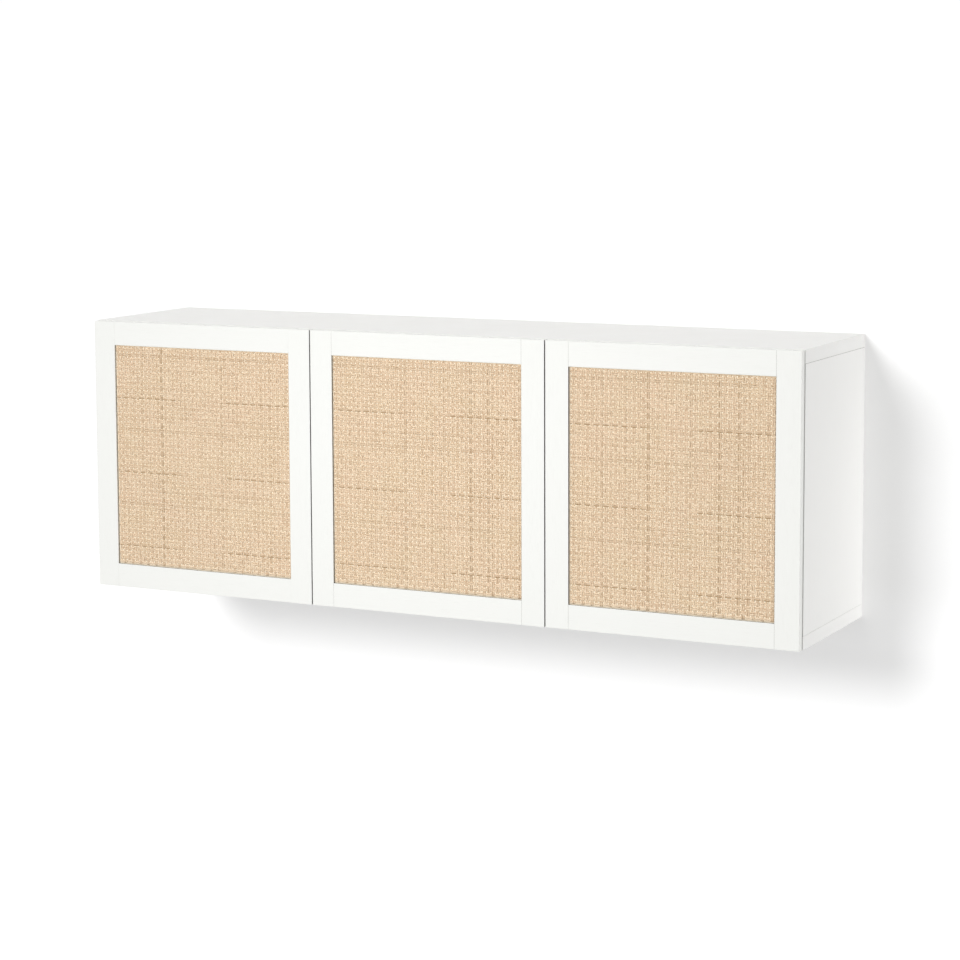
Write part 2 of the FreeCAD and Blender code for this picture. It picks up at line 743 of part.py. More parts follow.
def hingeArm(z):
    """A bar on the plate's spine, an upright into the cup and a neck that ends in the pivot's eye."""
    low = number("sidePanel") + number("plateWing") + number("plateSpine")
    high = low + number("armThickness")
    front = number("carcassFront")
    x, y = number("pivotAcross"), number("pivotBack")
    half, neckHalf = number("neckThickness") / 2, number("neckWidth") / 2
    farSide = x + number("neckReach")
    bridge = front + number("armThickness")
    nearSide, start = farSide - number("uprightThickness"), front + number("armSetback")
    body = slab((low, high), (start, front + number("armLength")),
                (z - number("armWidth") / 2, z + number("armWidth") / 2))
    upright = slab((nearSide, farSide), (y - half, bridge), (z - neckHalf, z + neckHalf))
    shoulder = slab((nearSide, high), (start, bridge), (z - neckHalf, z + neckHalf))
    neck = slab((x, farSide), (y - half, y + half), (z - neckHalf, z + neckHalf))
    eye = bar(number("earHeight") / 2 - number("fittingFit"), Vector(x, y, z - neckHalf), 2 * neckHalf, up)
    bore = bar(number("pivotRadius"), Vector(x, y, z - neckHalf - beyond), 2 * neckHalf + 2 * beyond, up)
    arm = body.fuse([upright, shoulder, neck, eye]).cut(bore)
    recesses = [bar(number("screwHeadRadius"),
                    Vector(high - beyond, number("hingeScrewRow") + way * number("plateSpineLength") / 4, z),
                    2 * beyond, along)
                for way in (-1, 1)]
    return arm.cut(recesses)


def hingeParts():
    arms, plates, pins = [], [], []
    for module in modules:
        side = hingeSides[module]
        heights = [number("hingeLow"), number("hingeHigh")]
        arms += inModule([hingeArm(z) for z in heights], module, side)
        plates += inModule([hingePlate(z) for z in heights], module, side)
        pins += inModule([hingePin(z) for z in heights], module, side)
        group(f"{moduleNames[module]}_door_hinge_cups",
              inModule([hingeCup(z) for z in heights], module, side))
        screwHeights = [z + way * number("cupScrewSpan") / 2 for z in heights for way in (-1, 1)]
        group(f"{moduleNames[module]}_door_cup_screws",
              inModule([cupScrew(z) for z in screwHeights], module, side))
    group("hinge_arms", arms)
    group("hinge_plates", plates)
    group("hinge_pins", pins)


for module in modules:
    for side in sides:
        sidePanel(module, side)
        stile(module, side)
    name = moduleNames[module]
    endPanel(module, f"{name}_top_panel", ("ceiling", "cabinetHeight"), "ceiling", -1, True)
    endPanel(module, f"{name}_bottom_panel", ("0", "bottomPanel"), "bottomPanel", 1, False)
    backPanel(module)
    shelf(module)
    rail(module, "top")
    rail(module, "bottom")
    wovenPanel(module)
    backingBoard(module)
    strikePlate(module)
    latchPlunger(module)
doc.recompute()

carcassFittings()
hangingParts()
hingeParts()
housings = []
for module in modules:
    freeSide = "right" if hingeSides[module] == "left" else "left"
    housings += inModule([latchHousing()], module, freeSide)
group("latch_housings", housings)
doc.recompute()

for obj in doc.Objects:
    if "Invalid" in obj.State or "Error" in obj.State:
        raise RuntimeError(f"{obj.Name} ({obj.Label}) failed: {obj.State}")
for label, obj in subParts.items():
    if obj.Shape.isNull() or not obj.Shape.isValid() or not obj.Shape.Solids:
        raise RuntimeError(f"{label} has no valid solid")

os.makedirs("parts", exist_ok=True)
for label, obj in subParts.items():
    obj.Shape.exportStep(f"parts/{label}.step")
print(len(subParts), "sub-parts,", sum(len(obj.Shape.Solids) for obj in subParts.values()), "solids")
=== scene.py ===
import json
import math
from functools import partial
import bmesh
import bpy
import numpy as np
from mathutils import Matrix, Vector


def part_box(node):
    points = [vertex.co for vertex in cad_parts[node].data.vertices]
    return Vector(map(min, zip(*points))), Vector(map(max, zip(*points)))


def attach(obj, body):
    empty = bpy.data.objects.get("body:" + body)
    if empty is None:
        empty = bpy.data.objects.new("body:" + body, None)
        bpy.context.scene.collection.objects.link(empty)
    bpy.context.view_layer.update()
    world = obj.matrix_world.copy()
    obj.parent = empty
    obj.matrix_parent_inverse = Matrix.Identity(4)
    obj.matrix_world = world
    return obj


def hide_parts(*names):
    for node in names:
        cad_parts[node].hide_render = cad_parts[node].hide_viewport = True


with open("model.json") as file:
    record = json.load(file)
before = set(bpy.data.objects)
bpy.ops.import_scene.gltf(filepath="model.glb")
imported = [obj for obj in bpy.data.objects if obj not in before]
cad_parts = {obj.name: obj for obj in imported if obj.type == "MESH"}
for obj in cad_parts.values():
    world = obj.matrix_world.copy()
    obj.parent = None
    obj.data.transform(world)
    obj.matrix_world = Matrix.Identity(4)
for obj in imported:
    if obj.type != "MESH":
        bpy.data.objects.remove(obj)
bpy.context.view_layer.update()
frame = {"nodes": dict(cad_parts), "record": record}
nodes = frame["nodes"]
modules = ("left", "middle", "right")
slotOf = {entry["node"]: entry["material_slot"] for entry in frame["record"]["subparts"]}
bodies = frame["record"]["behaviour"]["bodies"]
bodyOf = {node: body for body, members in bodies.items() for node in members}
mm = 0.001
tiny = 0.001 * mm          # points nearer than this are one point
print("frame loaded:", len(nodes), "nodes")


# ---- small helpers

def feed(tree, node, inputs):
    for name, value in inputs.items():
        if isinstance(value, bpy.types.NodeSocket):
            tree.links.new(value, node.inputs[name])
        else:
            node.inputs[name].default_value = value
    return node


def put(tree, kind, inputs=None, **settings):
    node = tree.nodes.new(kind)
    for name, value in settings.items():
        setattr(node, name, value)
    return feed(tree, node, inputs or {})


def maths(tree, operation, first, second=0.0, third=0.0):
    return put(tree, "ShaderNodeMath", {0: first, 1: second, 2: third}, operation=operation).outputs[0]


def vectorMaths(tree, operation, first, second):
    return put(tree, "ShaderNodeVectorMath", {0: first, 1: second}, operation=operation).outputs[0]


def combine(tree, x=0.0, y=0.0, z=0.0):
    return put(tree, "ShaderNodeCombineXYZ", {0: x, 1: y, 2: z}).outputs[0]


def split(tree, value):
    return put(tree, "ShaderNodeSeparateXYZ", {0: value}).outputs


def spread(tree, value, low, high, toLow=0.0, toHigh=1.0):
    return put(tree, "ShaderNodeMapRange", {0: value, 1: low, 2: high, 3: toLow, 4: toHigh}).outputs[0]


def blendColours(tree, share, first, second):
    return put(tree, "ShaderNodeMix", {0: share, 6: first, 7: second}, data_type="RGBA").outputs[2]


def noise(tree, place, scale=1.0, detail=2.0, roughness=0.5, distortion=0.0):
    return put(tree, "ShaderNodeTexNoise", {"Vector": place, "Scale": scale, "Detail": detail,
                                            "Roughness": roughness, "Distortion": distortion}).outputs[0]


def newTree(name, kind, inputs, outputs):
    # inputs and outputs: the names of the sockets of each type
    tree = bpy.data.node_groups.new(name, kind)
    for side, sockets in (("INPUT", inputs), ("OUTPUT", outputs)):
        for socket, labels in sockets.items():
            for label in labels.split(", "):
                tree.interface.new_socket(label, in_out=side, socket_type="NodeSocket" + socket)
    return tree, tree.nodes.new("NodeGroupInput").outputs, tree.nodes.new("NodeGroupOutput").inputs


def placeObject(name, data):
    holder = bpy.data.objects.new(name, data)
    bpy.context.scene.collection.objects.link(holder)
    return holder


def standIn(piece, name):
    # the piece is shown in the place of a CAD node
    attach(piece, bodyOf[name])
    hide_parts(name)


# ---- groups that more than one finish uses

def buildGrain():
    tree, given, result = newTree("woodGrain", "ShaderNodeTree", {
        "Vector": "Place, Stretch", "Float": "Bend"}, {"Float": "Streaks, Pores"})
    place = vectorMaths(tree, "MULTIPLY", given["Place"], given["Stretch"])
    broad = noise(tree, place, 1.0, 3.0, 0.55)
    bent = noise(tree, place, 3.7, 4.0, 0.6, given["Bend"])
    both = maths(tree, "MULTIPLY_ADD", bent, 0.6, maths(tree, "MULTIPLY", broad, 0.4))
    tree.links.new(spread(tree, both, 0.32, 0.68), result["Streaks"])
    tree.links.new(spread(tree, noise(tree, place, 9.0), 0.58, 0.72), result["Pores"])
    return tree


def buildEdgeWear():
    # how near a point of a board lies to one of its long edges: the middle one of its three distances
    tree, given, result = newTree("edgeWear", "ShaderNodeTree", {
        "Vector": "Place, Low, High", "Float": "Width, Breakup"}, {"Float": "Mask"})
    fromLow = vectorMaths(tree, "SUBTRACT", given["Place"], given["Low"])
    fromHigh = vectorMaths(tree, "SUBTRACT", given["High"], given["Place"])
    nearest = split(tree, vectorMaths(tree, "MINIMUM", fromLow, fromHigh))
    lowPair = maths(tree, "MINIMUM", nearest[0], nearest[1])
    highPair = maths(tree, "MAXIMUM", nearest[0], nearest[1])
    middle = maths(tree, "MAXIMUM", lowPair, maths(tree, "MINIMUM", highPair, nearest[2]))
    ragged = noise(tree, given["Place"], given["Breakup"], 3.0, 0.6)
    reach = maths(tree, "MULTIPLY", given["Width"], maths(tree, "MULTIPLY_ADD", ragged, 1.6, 0.2))
    tree.links.new(spread(tree, maths(tree, "DIVIDE", middle, reach), 1.0, 0.0), result["Mask"])
    return tree


def buildDust():
    # fine dust, thicker where the face looks up
    tree, given, result = newTree("fineDust", "ShaderNodeTree", {
        "Vector": "Place", "Float": "Scale, Amount"}, {"Float": "Mask"})
    cloud = spread(tree, noise(tree, given["Place"], given["Scale"], 5.0, 0.65), 0.35, 0.75)
    facing = split(tree, put(tree, "ShaderNodeNewGeometry").outputs["Normal"])
    upward = spread(tree, facing[2], 0.0, 1.0, 0.4, 1.0)
    amount = maths(tree, "MULTIPLY", maths(tree, "MULTIPLY", cloud, upward), given["Amount"])
    tree.links.new(amount, result["Mask"])
    return tree


def buildStipple():
    # the fine roll or mould texture of plastic, board and plated steel
    tree, given, result = newTree("fineStipple", "ShaderNodeTree", {
        "Vector": "Place", "Float": "Scale, Clouds"}, {"Float": "Height, Drift"})
    tree.links.new(noise(tree, given["Place"], given["Scale"]), result["Height"])
    tree.links.new(noise(tree, given["Place"], given["Clouds"], 4.0, 0.6), result["Drift"])
    return tree


shared = {"grain": buildGrain(), "wear": buildEdgeWear(), "dust": buildDust(), "stipple": buildStipple()}


def useGroup(tree, name, **inputs):
    return put(tree, "ShaderNodeGroup", inputs, node_tree=shared[name]).outputs


def newMaterial(name):
    material = bpy.data.materials.new(name)
    material.use_nodes = True
    tree = material.node_tree
    return material, tree, put(tree, "ShaderNodeTexCoord").outputs["Object"]


def attribute(tree, name, output="Vector"):
    return put(tree, "ShaderNodeAttribute", attribute_name=name).outputs[output]


def dustOn(tree, place, look, rough):
    # each look names its dust's scale and amount, and how much rougher the dust makes the face
    scale, amount, rougher = look["dust"]
    dust = useGroup(tree, "dust", Place=place, Scale=scale, Amount=amount)["Mask"]
    return dust, maths(tree, "MULTIPLY_ADD", dust, rougher, rough)


def finishWith(material, colour, roughness, height, bump, metallic=0.0):
    tree = material.node_tree
    bumped = put(tree, "ShaderNodeBump", {"Height": height, "Distance": bump}).outputs[0]
    feed(tree, tree.nodes["Principled BSDF"],
         {"Base Color": colour, "Roughness": roughness, "Metallic": metallic, "Normal": bumped})
    return material


# ---- white foil of the frames and boards

foil = {
    "frame": ((0.875, 0.88, 0.85, 1), 0.00012),       # colour, and how deep the grain is pressed
    "carcass": ((0.875, 0.87, 0.85, 1), 0.000072),
    "poreColour": (0.80, 0.80, 0.765, 1),
    "edgeColour": (0.83, 0.82, 0.79, 1),
    "dustColour": (0.78, 0.77, 0.74, 1),
    "pores": 0.35, "streaks": 0.10, "wear": 0.35, "dusting": 0.5,       # how much each of them shows
    "acrossGrain": 110,       # streaks in a metre
    "alongGrain": 3.5,
    "bend": 0.6,
    "poreDepth": 0.8,
    "roughness": 0.42, "streakRoughness": 0.10,
    "wearWidth": 0.0012, "wearBreakup": 45.0,
    "dust": (9.0, 0.22, 0.30),
}


def foilFinish(name, colour, emboss, alongAxis):
    material, tree, place = newMaterial(name)
    stretch = [foil["acrossGrain"]] * 3
    stretch["xyz".index(alongAxis)] = foil["alongGrain"]
    grain = useGroup(tree, "grain", Place=place, Stretch=stretch, Bend=foil["bend"])
    wear = useGroup(tree, "wear", Place=place, Low=attribute(tree, "lowCorner"),
                    High=attribute(tree, "highCorner"), Width=foil["wearWidth"],
                    Breakup=foil["wearBreakup"])["Mask"]
    rough = maths(tree, "MULTIPLY_ADD", grain["Streaks"], foil["streakRoughness"], foil["roughness"])
    dust, rough = dustOn(tree, place, foil, rough)
    for layer, share, over in (
            (grain["Pores"], "pores", "poreColour"), (grain["Streaks"], "streaks", "poreColour"),
            (wear, "wear", "edgeColour"), (dust, "dusting", "dustColour")):
        colour = blendColours(tree, maths(tree, "MULTIPLY", layer, foil[share]), colour, foil[over])
    pressed = maths(tree, "MULTIPLY", grain["Pores"], foil["poreDepth"])
    return finishWith(material, colour, rough, maths(tree, "SUBTRACT", grain["Streaks"], pressed), emboss)


frameUpright, frameLevel, boardUpright, boardLevel = (
    foilFinish(f"{part}Foil{turn}", *foil[part], axis)
    for part in ("frame", "carcass") for turn, axis in (("Upright", "z"), ("Level", "x")))


# ---- painted shadow: a near-black brown board colour inside the gap round each woven panel, where there is only shade

gapShadowPaint = {"colour": (0.030, 0.017, 0.007, 1), "fibre": (0.060, 0.036, 0.016, 1), "fleck": 420.0,
            "clouds": 60.0, "roughness": (0.8, 0.95), "bump": 0.0001}


# the dark colour is painted shadow for the gap's sides and the board's margin
def paintedGapShadow():
    material, tree, place = newMaterial("paintedGapShadow")
    stipple = useGroup(tree, "stipple", Place=place, Scale=gapShadowPaint["fleck"], Clouds=gapShadowPaint["clouds"])
    fibres = spread(tree, stipple["Height"], 0.35, 0.65)
    colour = blendColours(tree, fibres, gapShadowPaint["colour"], gapShadowPaint["fibre"])
    rough = spread(tree, stipple["Drift"], 0.3, 0.7, *gapShadowPaint["roughness"])
    return finishWith(material, colour, rough, stipple["Height"], gapShadowPaint["bump"])


gapShadowFinish = paintedGapShadow()


# ---- hardboard, cream board, and colours of painted shade: the tan margin, the joint grooves and the shaded edges of the doors

boardLook = {"clouds": 12.0, "flecks": 0.5, "clouding": 0.35, "dust": (11.0, 0.3, 0.3)}
boardKinds = {     # colour, fleck colour, flecks in a metre, roughness, bump
    "whiteHardboard": ((0.86, 0.86, 0.84, 1), (0.77, 0.76, 0.73, 1), 700.0, 0.55, 0.00006),
    "creamBoard": ((1.0, 0.90, 0.72, 1), (0.98, 0.86, 0.66, 1), 500.0, 0.6, 0.00005),
    # painted shade on the top margin, in the top rail's shadow
    "paintedMarginShade": ((0.46, 0.32, 0.19, 1), (0.38, 0.25, 0.14, 1), 420.0, 0.8, 0.00006),
    # painted dirt and shade for the joint grooves, and painted shadow for the outer front bevels
    "jointGrooveDirtAndShade": ((0.40, 0.395, 0.37, 1), (0.31, 0.30, 0.28, 1), 300.0, 0.75, 0.00004),
    # painted shade on the door edges that face another door
    "paintedDoorEdgeShade": ((0.42, 0.42, 0.41, 1), (0.37, 0.37, 0.36, 1), 260.0, 0.5, 0.00003),
}


def boardFinish(name):
    colour, fleckColour, fleck, roughness, bump = boardKinds[name]
    material, tree, place = newMaterial(name)
    stipple = useGroup(tree, "stipple", Place=place, Scale=fleck, Clouds=boardLook["clouds"])
    flecks = spread(tree, stipple["Height"], 0.5, 0.75, 0.0, boardLook["flecks"])
    clouds = spread(tree, stipple["Drift"], 0.35, 0.75, 0.0, boardLook["clouding"])
    for share in (flecks, clouds):
        colour = blendColours(tree, share, colour, fleckColour)
    rough = dustOn(tree, place, boardLook, roughness)[1]
    return finishWith(material, colour, rough, stipple["Height"], bump)


hardboard, creamBoard, paintedMarginShade, grooveDirtAndShade, doorEdgeShadeFinish = map(boardFinish, boardKinds)


# ---- dowels, metals and plastics

dowel = {"light": (0.62, 0.42, 0.25, 1), "dark": (0.42, 0.25, 0.13, 1), "stretch": (420, 420, 30),
         "bend": 0.8, "streaks": 0.5, "pores": 0.6, "roughness": (0.5, 0.66), "bump": 0.0001}
metals = {
    "nickelPlate": {"colour": (0.72, 0.70, 0.66, 1), "stain": (0.58, 0.56, 0.52, 1), "roughness": 0.22,
                    "stretch": (500, 500, 60), "bump": 0.00002},
    "zincPlate": {"colour": (0.66, 0.68, 0.70, 1), "stain": (0.52, 0.54, 0.55, 1), "roughness": 0.34,
                  "stretch": (260, 260, 260), "bump": 0.00003},
    "zincCasting": {"colour": (0.55, 0.56, 0.57, 1), "stain": (0.42, 0.43, 0.44, 1), "roughness": 0.48,
                    "stretch": (180, 180, 180), "bump": 0.00008},
}
metalLook = {"bend": 0.3, "stains": 0.7, "streakRoughness": 0.16, "dust": (60.0, 0.4, 0.3)}
spangle = {"crystals": 110.0, "dark": (0.60, 0.62, 0.64, 1), "light": (0.74, 0.75, 0.76, 1),
           "dustColour": (0.55, 0.56, 0.56, 1), "dust": (22.0, 0.5, 0.25), "roughness": (0.34, 0.52),
           "bump": 0.00004}
plastic = {"stipple": 1800.0, "clouds": 45.0, "darker": 0.86, "drift": 0.6, "driftRoughness": 0.12,
           "dust": (80.0, 0.35, 0.3), "bump": 0.00003}


def beechFinish():
    material, tree, place = newMaterial("beechDowel")
    grain = useGroup(tree, "grain", Place=place, Stretch=dowel["stretch"], Bend=dowel["bend"])
    colour = dowel["light"]
    for layer, share in (("Streaks", "streaks"), ("Pores", "pores")):
        shown = maths(tree, "MULTIPLY", grain[layer], dowel[share])
        colour = blendColours(tree, shown, colour, dowel["dark"])
    rough = spread(tree, grain["Streaks"], 0.0, 1.0, *dowel["roughness"])
    return finishWith(material, colour, rough, grain["Streaks"], dowel["bump"])


def metalFinish(name):
    own = metals[name]
    material, tree, place = newMaterial(name)
    grain = useGroup(tree, "grain", Place=place, Stretch=own["stretch"], Bend=metalLook["bend"])
    rough = maths(tree, "MULTIPLY_ADD", grain["Streaks"], metalLook["streakRoughness"], own["roughness"])
    dust, rough = dustOn(tree, place, metalLook, rough)
    stains = spread(tree, grain["Streaks"], 0.2, 0.9, 0.0, metalLook["stains"])
    colour = own["colour"]
    for share in (stains, dust):
        colour = blendColours(tree, share, colour, own["stain"])
    return finishWith(material, colour, rough, grain["Streaks"], own["bump"], metallic=1.0)


def galvanisedFinish():
    # zinc spangle: flat crystals, each with its own tone and gloss
    material, tree, place = newMaterial("galvanisedSheet")
    cells = put(tree, "ShaderNodeTexVoronoi", {"Vector": place, "Scale": spangle["crystals"]}).outputs
    tone = put(tree, "ShaderNodeSeparateColor", {0: cells["Color"]}).outputs[0]
    dust, rough = dustOn(tree, place, spangle, spread(tree, tone, 0.0, 1.0, *spangle["roughness"]))
    colour = blendColours(tree, tone, spangle["dark"], spangle["light"])
    colour = blendColours(tree, dust, colour, spangle["dustColour"])
    return finishWith(material, colour, rough, cells["Distance"], spangle["bump"], metallic=1.0)


def plasticFinish(name, colour, roughness):
    material, tree, place = newMaterial(name)
    stipple = useGroup(tree, "stipple", Place=place, Scale=plastic["stipple"], Clouds=plastic["clouds"])
    darker = [value * plastic["darker"] for value in colour[:3]] + [1]
    drift = spread(tree, stipple["Drift"], 0.3, 0.7, 0.0, plastic["drift"])
    rough = maths(tree, "MULTIPLY_ADD", stipple["Drift"], plastic["driftRoughness"], roughness)
    rough = dustOn(tree, place, plastic, rough)[1]
    return finishWith(material, blendColours(tree, drift, colour, darker), rough, stipple["Height"],
                      plastic["bump"])


slotFinishes = {
    "white_hardboard": hardboard,
    "cream_board": creamBoard,
    "beech": beechFinish(),
    "nickel_steel": metalFinish("nickelPlate"),
    "zinc_steel": metalFinish("zincPlate"),
    "zinc_casting": metalFinish("zincCasting"),
    "galvanised_steel": galvanisedFinish(),
    "grey_plastic": plasticFinish("greyPlastic", (0.34, 0.35, 0.36, 1), 0.38),
    "white_plastic": plasticFinish("whitePlastic", (0.84, 0.84, 0.82, 1), 0.30),
}
for name, node in nodes.items():
    finish = slotFinishes.get(slotOf[name])
    if finish:
        node.data.materials.clear()
        node.data.materials.append(finish)
print("finishes built:", len(bpy.data.materials))


# ---- boards with softened edges, made from the CAD boards

edging = {
    "frameBevel": 0.45 * mm,
    "boardBevel": 0.6 * mm,
    "doorEdgeBevel": 0.2 * mm,   # towards the next door
    "steps": 2,
    "shortest": 30 * mm,         # shorter edges, such as round holes, stay crisp
    "sharpest": math.radians(60),
    "flat": math.radians(0.5),
    "sameFlat": 0.01 * mm,
    "moduleEdges": (-0.3, 0.3),
    "innerEdges": 0.5,           # door edges nearer to the middle than this look at another door
}


def inFlat(edge, flats):
    return any(all(abs(vertex.co.x - flat) < edging["sameFlat"] for vertex in edge.verts) for flat in flats)


def edgedBoard(name, bevel, finish, flats=(), flatBevel=0, zoneOf=None, cutAt=None):
    # flats: where a board meets the next module; its edges there get their own bevel or none
    low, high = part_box(name)
    build = bmesh.new()
    build.from_mesh(nodes[name].data)
    bmesh.ops.remove_doubles(build, verts=build.verts, dist=tiny)
    bmesh.ops.dissolve_limit(build, angle_limit=edging["flat"], verts=build.verts, edges=build.edges)
    for offset, between in ((bevel, False), (flatBevel, True)):
        if offset:
            chosen = [edge for edge in build.edges
                      if edge.is_manifold and edge.is_convex and edge.calc_length() > edging["shortest"]
                      and edge.calc_face_angle() > edging["sharpest"] and inFlat(edge, flats) == between]
            bmesh.ops.bevel(build, geom=chosen, offset=offset, segments=edging["steps"], profile=0.5,
                            affect="EDGES", clamp_overlap=True)
    if cutAt:
        bmesh.ops.bisect_plane(build, geom=build.verts[:] + build.edges[:] + build.faces[:], dist=tiny,
                               plane_co=(0, cutAt, 0), plane_no=(0, 1, 0))
    bmesh.ops.triangulate(build, faces=[face for face in build.faces if len(face.verts) > 4])
    build.normal_update()
    if zoneOf:
        for face in build.faces:
            face.material_index = zoneOf(face)
    mesh = bpy.data.meshes.new(name + "_edged")
    build.to_mesh(mesh)
    build.free()
    for surface in (finish, gapShadowFinish, grooveDirtAndShade, doorEdgeShadeFinish) if zoneOf else (finish,):
        mesh.materials.append(surface)
    for label, corner in (("lowCorner", low), ("highCorner", high)):
        layer = mesh.attributes.new(label, "FLOAT_VECTOR", "POINT")
        layer.data.foreach_set("vector", np.tile(np.array(corner, np.float32), len(mesh.vertices)))
    standIn(placeObject(name + "_edged", mesh), name)


plain, dark, groove, doorEdgeShadeZone = range(4)     # foil, painted shadow on the gap's sides, painted dirt and shade in a groove between boards, painted shade on a door's edge
# the gap round each woven sheet gets painted shadow; where it starts on the stiles' sides differs from door
# to door, so each door shows its own amount of shade
gap = {
    "starts": {"left": -416.8 * mm, "middle": -417.8 * mm, "right": -419.4 * mm},
    "lip": -419.4 * mm,          # just behind the frame's front face
    "rear": -413.9 * mm,
    "width": 3 * mm,             # no wider than this beside the woven sheet
}
seams = {
    "joints": {"left": plain, "middle": groove, "right": groove},     # painted dirt and shade in the joint groove; a tight joint has none
    "reach": 0.7 * mm,
    "largest": 80 * mm * mm,     # a joint's bevelled faces are smaller
    "outerEdgeShadow": 898 * mm,       # painted shadow on the front bevel at the outer doors' outer edges
    # the share of a normal along an axis: a bevel's least share, its most, and that of a square face
    "doorBevel": 0.3, "panelBevel": 0.15, "mostBevel": 0.98, "square": 0.9,
    "rise": 0.2,                 # a joint's bevelled faces rise less than this
}


def stileEdges(module):
    boxes = (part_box(f"{module}_door_hinge_stile"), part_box(f"{module}_door_free_stile"))
    return sorted(corner.x for box in boxes for corner in box)


def near(value, places, reach):
    return any(abs(value - place) < reach for place in places)


def doorZones(module, joints, sides):
    low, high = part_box(f"{module}_door_woven_panel")

    def zone(face):
        middle, normal = face.calc_center_median(), face.normal
        bevelled = seams["doorBevel"] < abs(normal.y) < seams["mostBevel"]
        # painted shadow on the front bevel of the outer doors' outer edges
        if bevelled and normal.y < 0 and abs(middle.x) > seams["outerEdgeShadow"]:
            return groove
        # painted dirt and shade in the grooves at the door frames' joints
        atJoint = bevelled and near(middle.x, joints, seams["reach"]) and abs(normal.z) < seams["rise"]
        if atJoint and face.calc_area() < seams["largest"] and middle.y < gap["lip"]:
            return seams["joints"][module]
        if abs(normal.x) > seams["square"]:
            # painted shade on a door edge that faces the next door
            if near(middle.x, sides, edging["sameFlat"]):
                return doorEdgeShadeZone
            # painted shadow on the stiles' sides inside the gap
            beside = low.x - gap["width"] < middle.x < high.x + gap["width"]
            return dark if beside and gap["starts"][module] < middle.y < gap["rear"] else plain
        # painted shadow on the bottom rail's face inside the gap
        if normal.z > seams["square"] and low.z - gap["width"] < middle.z < low.z:
            return dark if gap["lip"] < middle.y < gap["rear"] else plain
        return plain
    return zone


def panelGrooveShade(module):
    # painted dirt and shade in the groove between a side panel and the panels above and below it, and
    # painted shadow on the bevel of its front edge
    heights = (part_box(f"{module}_top_panel")[0].z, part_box(f"{module}_bottom_panel")[1].z)

    def bevelled(share):
        return seams["panelBevel"] < abs(share) < seams["mostBevel"]

    def zone(face):
        normal = face.normal
        if abs(normal.x) <= seams["panelBevel"]:
            return plain
        if normal.y < 0 and bevelled(normal.y):
            return groove
        atJoint = bevelled(normal.z) and near(face.calc_center_median().z, heights, seams["reach"])
        return groove if atJoint else plain
    return zone


for module in modules:
    outerLeft, *joints, outerRight = stileEdges(module)
    sides = [end for end in (outerLeft, outerRight) if abs(end) < edging["innerEdges"]]
    zones = doorZones(module, joints, sides)
    for part, finish in (("hinge_stile", frameUpright), ("free_stile", frameUpright),
                         ("top_rail", frameLevel), ("bottom_rail", frameLevel)):
        edgedBoard(f"{module}_door_{part}", edging["frameBevel"], finish, flats=sides,
                   flatBevel=edging["doorEdgeBevel"], zoneOf=zones,
                   cutAt=gap["lip"] if part == "bottom_rail" else gap["starts"][module])
    for side in ("left", "right"):
        edgedBoard(f"{module}_module_{side}_side", edging["boardBevel"], boardUpright,
                   zoneOf=panelGrooveShade(module))
    for part in ("top_panel", "bottom_panel", "shelf"):
        edgedBoard(f"{module}_{part}", edging["boardBevel"], boardLevel, flats=edging["moduleEdges"])
print("boards edged")


# ---- the backing board: its margin, in the shadow gap, carries painted shadow

backing = {
    "bevel": 0.4 * mm,
    "steps": 2,
    "underSheet": 0.2 * mm,      # the margin ends this far under the woven sheet's edge
    "rise": 0.9 * mm,            # the cream board swells into the holes
    "near": 0.1 * mm,
}


def backingBoard(module):
    name = f"{module}_door_backing_board"
    low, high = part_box(name)
    sheetLow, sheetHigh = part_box(f"{module}_door_woven_panel")
    build = bmesh.new()
    bmesh.ops.create_cube(build, size=1.0)
    centre = (low + high) / 2
    bmesh.ops.transform(build, matrix=Matrix.LocRotScale(centre, None, high - low), verts=build.verts)
    bmesh.ops.bevel(build, geom=list(build.edges), offset=backing["bevel"], segments=backing["steps"],
                    profile=0.5, affect="EDGES")
    front = min(build.faces, key=lambda face: face.calc_center_median().y)
    margin = (sheetLow.x - low.x) - backing["bevel"] + backing["underSheet"]
    bmesh.ops.inset_individual(build, faces=[front], thickness=margin, depth=0)
    for vertex in front.verts:
        vertex.co.y -= backing["rise"]
    build.normal_update()
    # painted shadow: the margin is dark along the sides and the foot, and tan along the top
    for face in build.faces:
        middle = face.calc_center_median()
        away = middle - centre
        inside = abs(away.x) < backing["near"] and abs(away.z) < backing["near"]
        beside = abs(away.x) > (sheetHigh.x - sheetLow.x) / 2
        if middle.y < low.y + backing["near"] and not inside:
            face.material_index = 1 if beside or away.z < 0 else 2
    mesh = bpy.data.meshes.new(name + "_margined")
    build.to_mesh(mesh)
    build.free()
    for surface in (creamBoard, gapShadowFinish, paintedMarginShade):
        mesh.materials.append(surface)
    standIn(placeObject(name + "_margined", mesh), name)


def runTree(name, tree, inputs, start=None):
    # the tree's result as a plain mesh on its own object
    holder = placeObject(name, start or bpy.data.meshes.new(name + "_start"))
    modifier = holder.modifiers.new("build", "NODES")
    modifier.node_group = tree
    for item in tree.interface.items_tree:
        if item.in_out == "INPUT" and item.name in inputs:
            modifier[item.identifier] = inputs[item.name]
    bpy.context.view_layer.update()
    solid = holder.evaluated_get(bpy.context.evaluated_depsgraph_get())
    mesh = bpy.data.meshes.new_from_object(solid)
    mesh.name = name
    holder.modifiers.remove(modifier)
    holder.data = mesh
    return holder


def finishTree(tree, given, result, geometry):
    real = put(tree, "GeometryNodeSetMaterial", {"Geometry": geometry, "Material": given["Finish"]})
    tree.links.new(real.outputs[0], result["Mesh"])
    return tree


# ---- screws that show when a door stands open

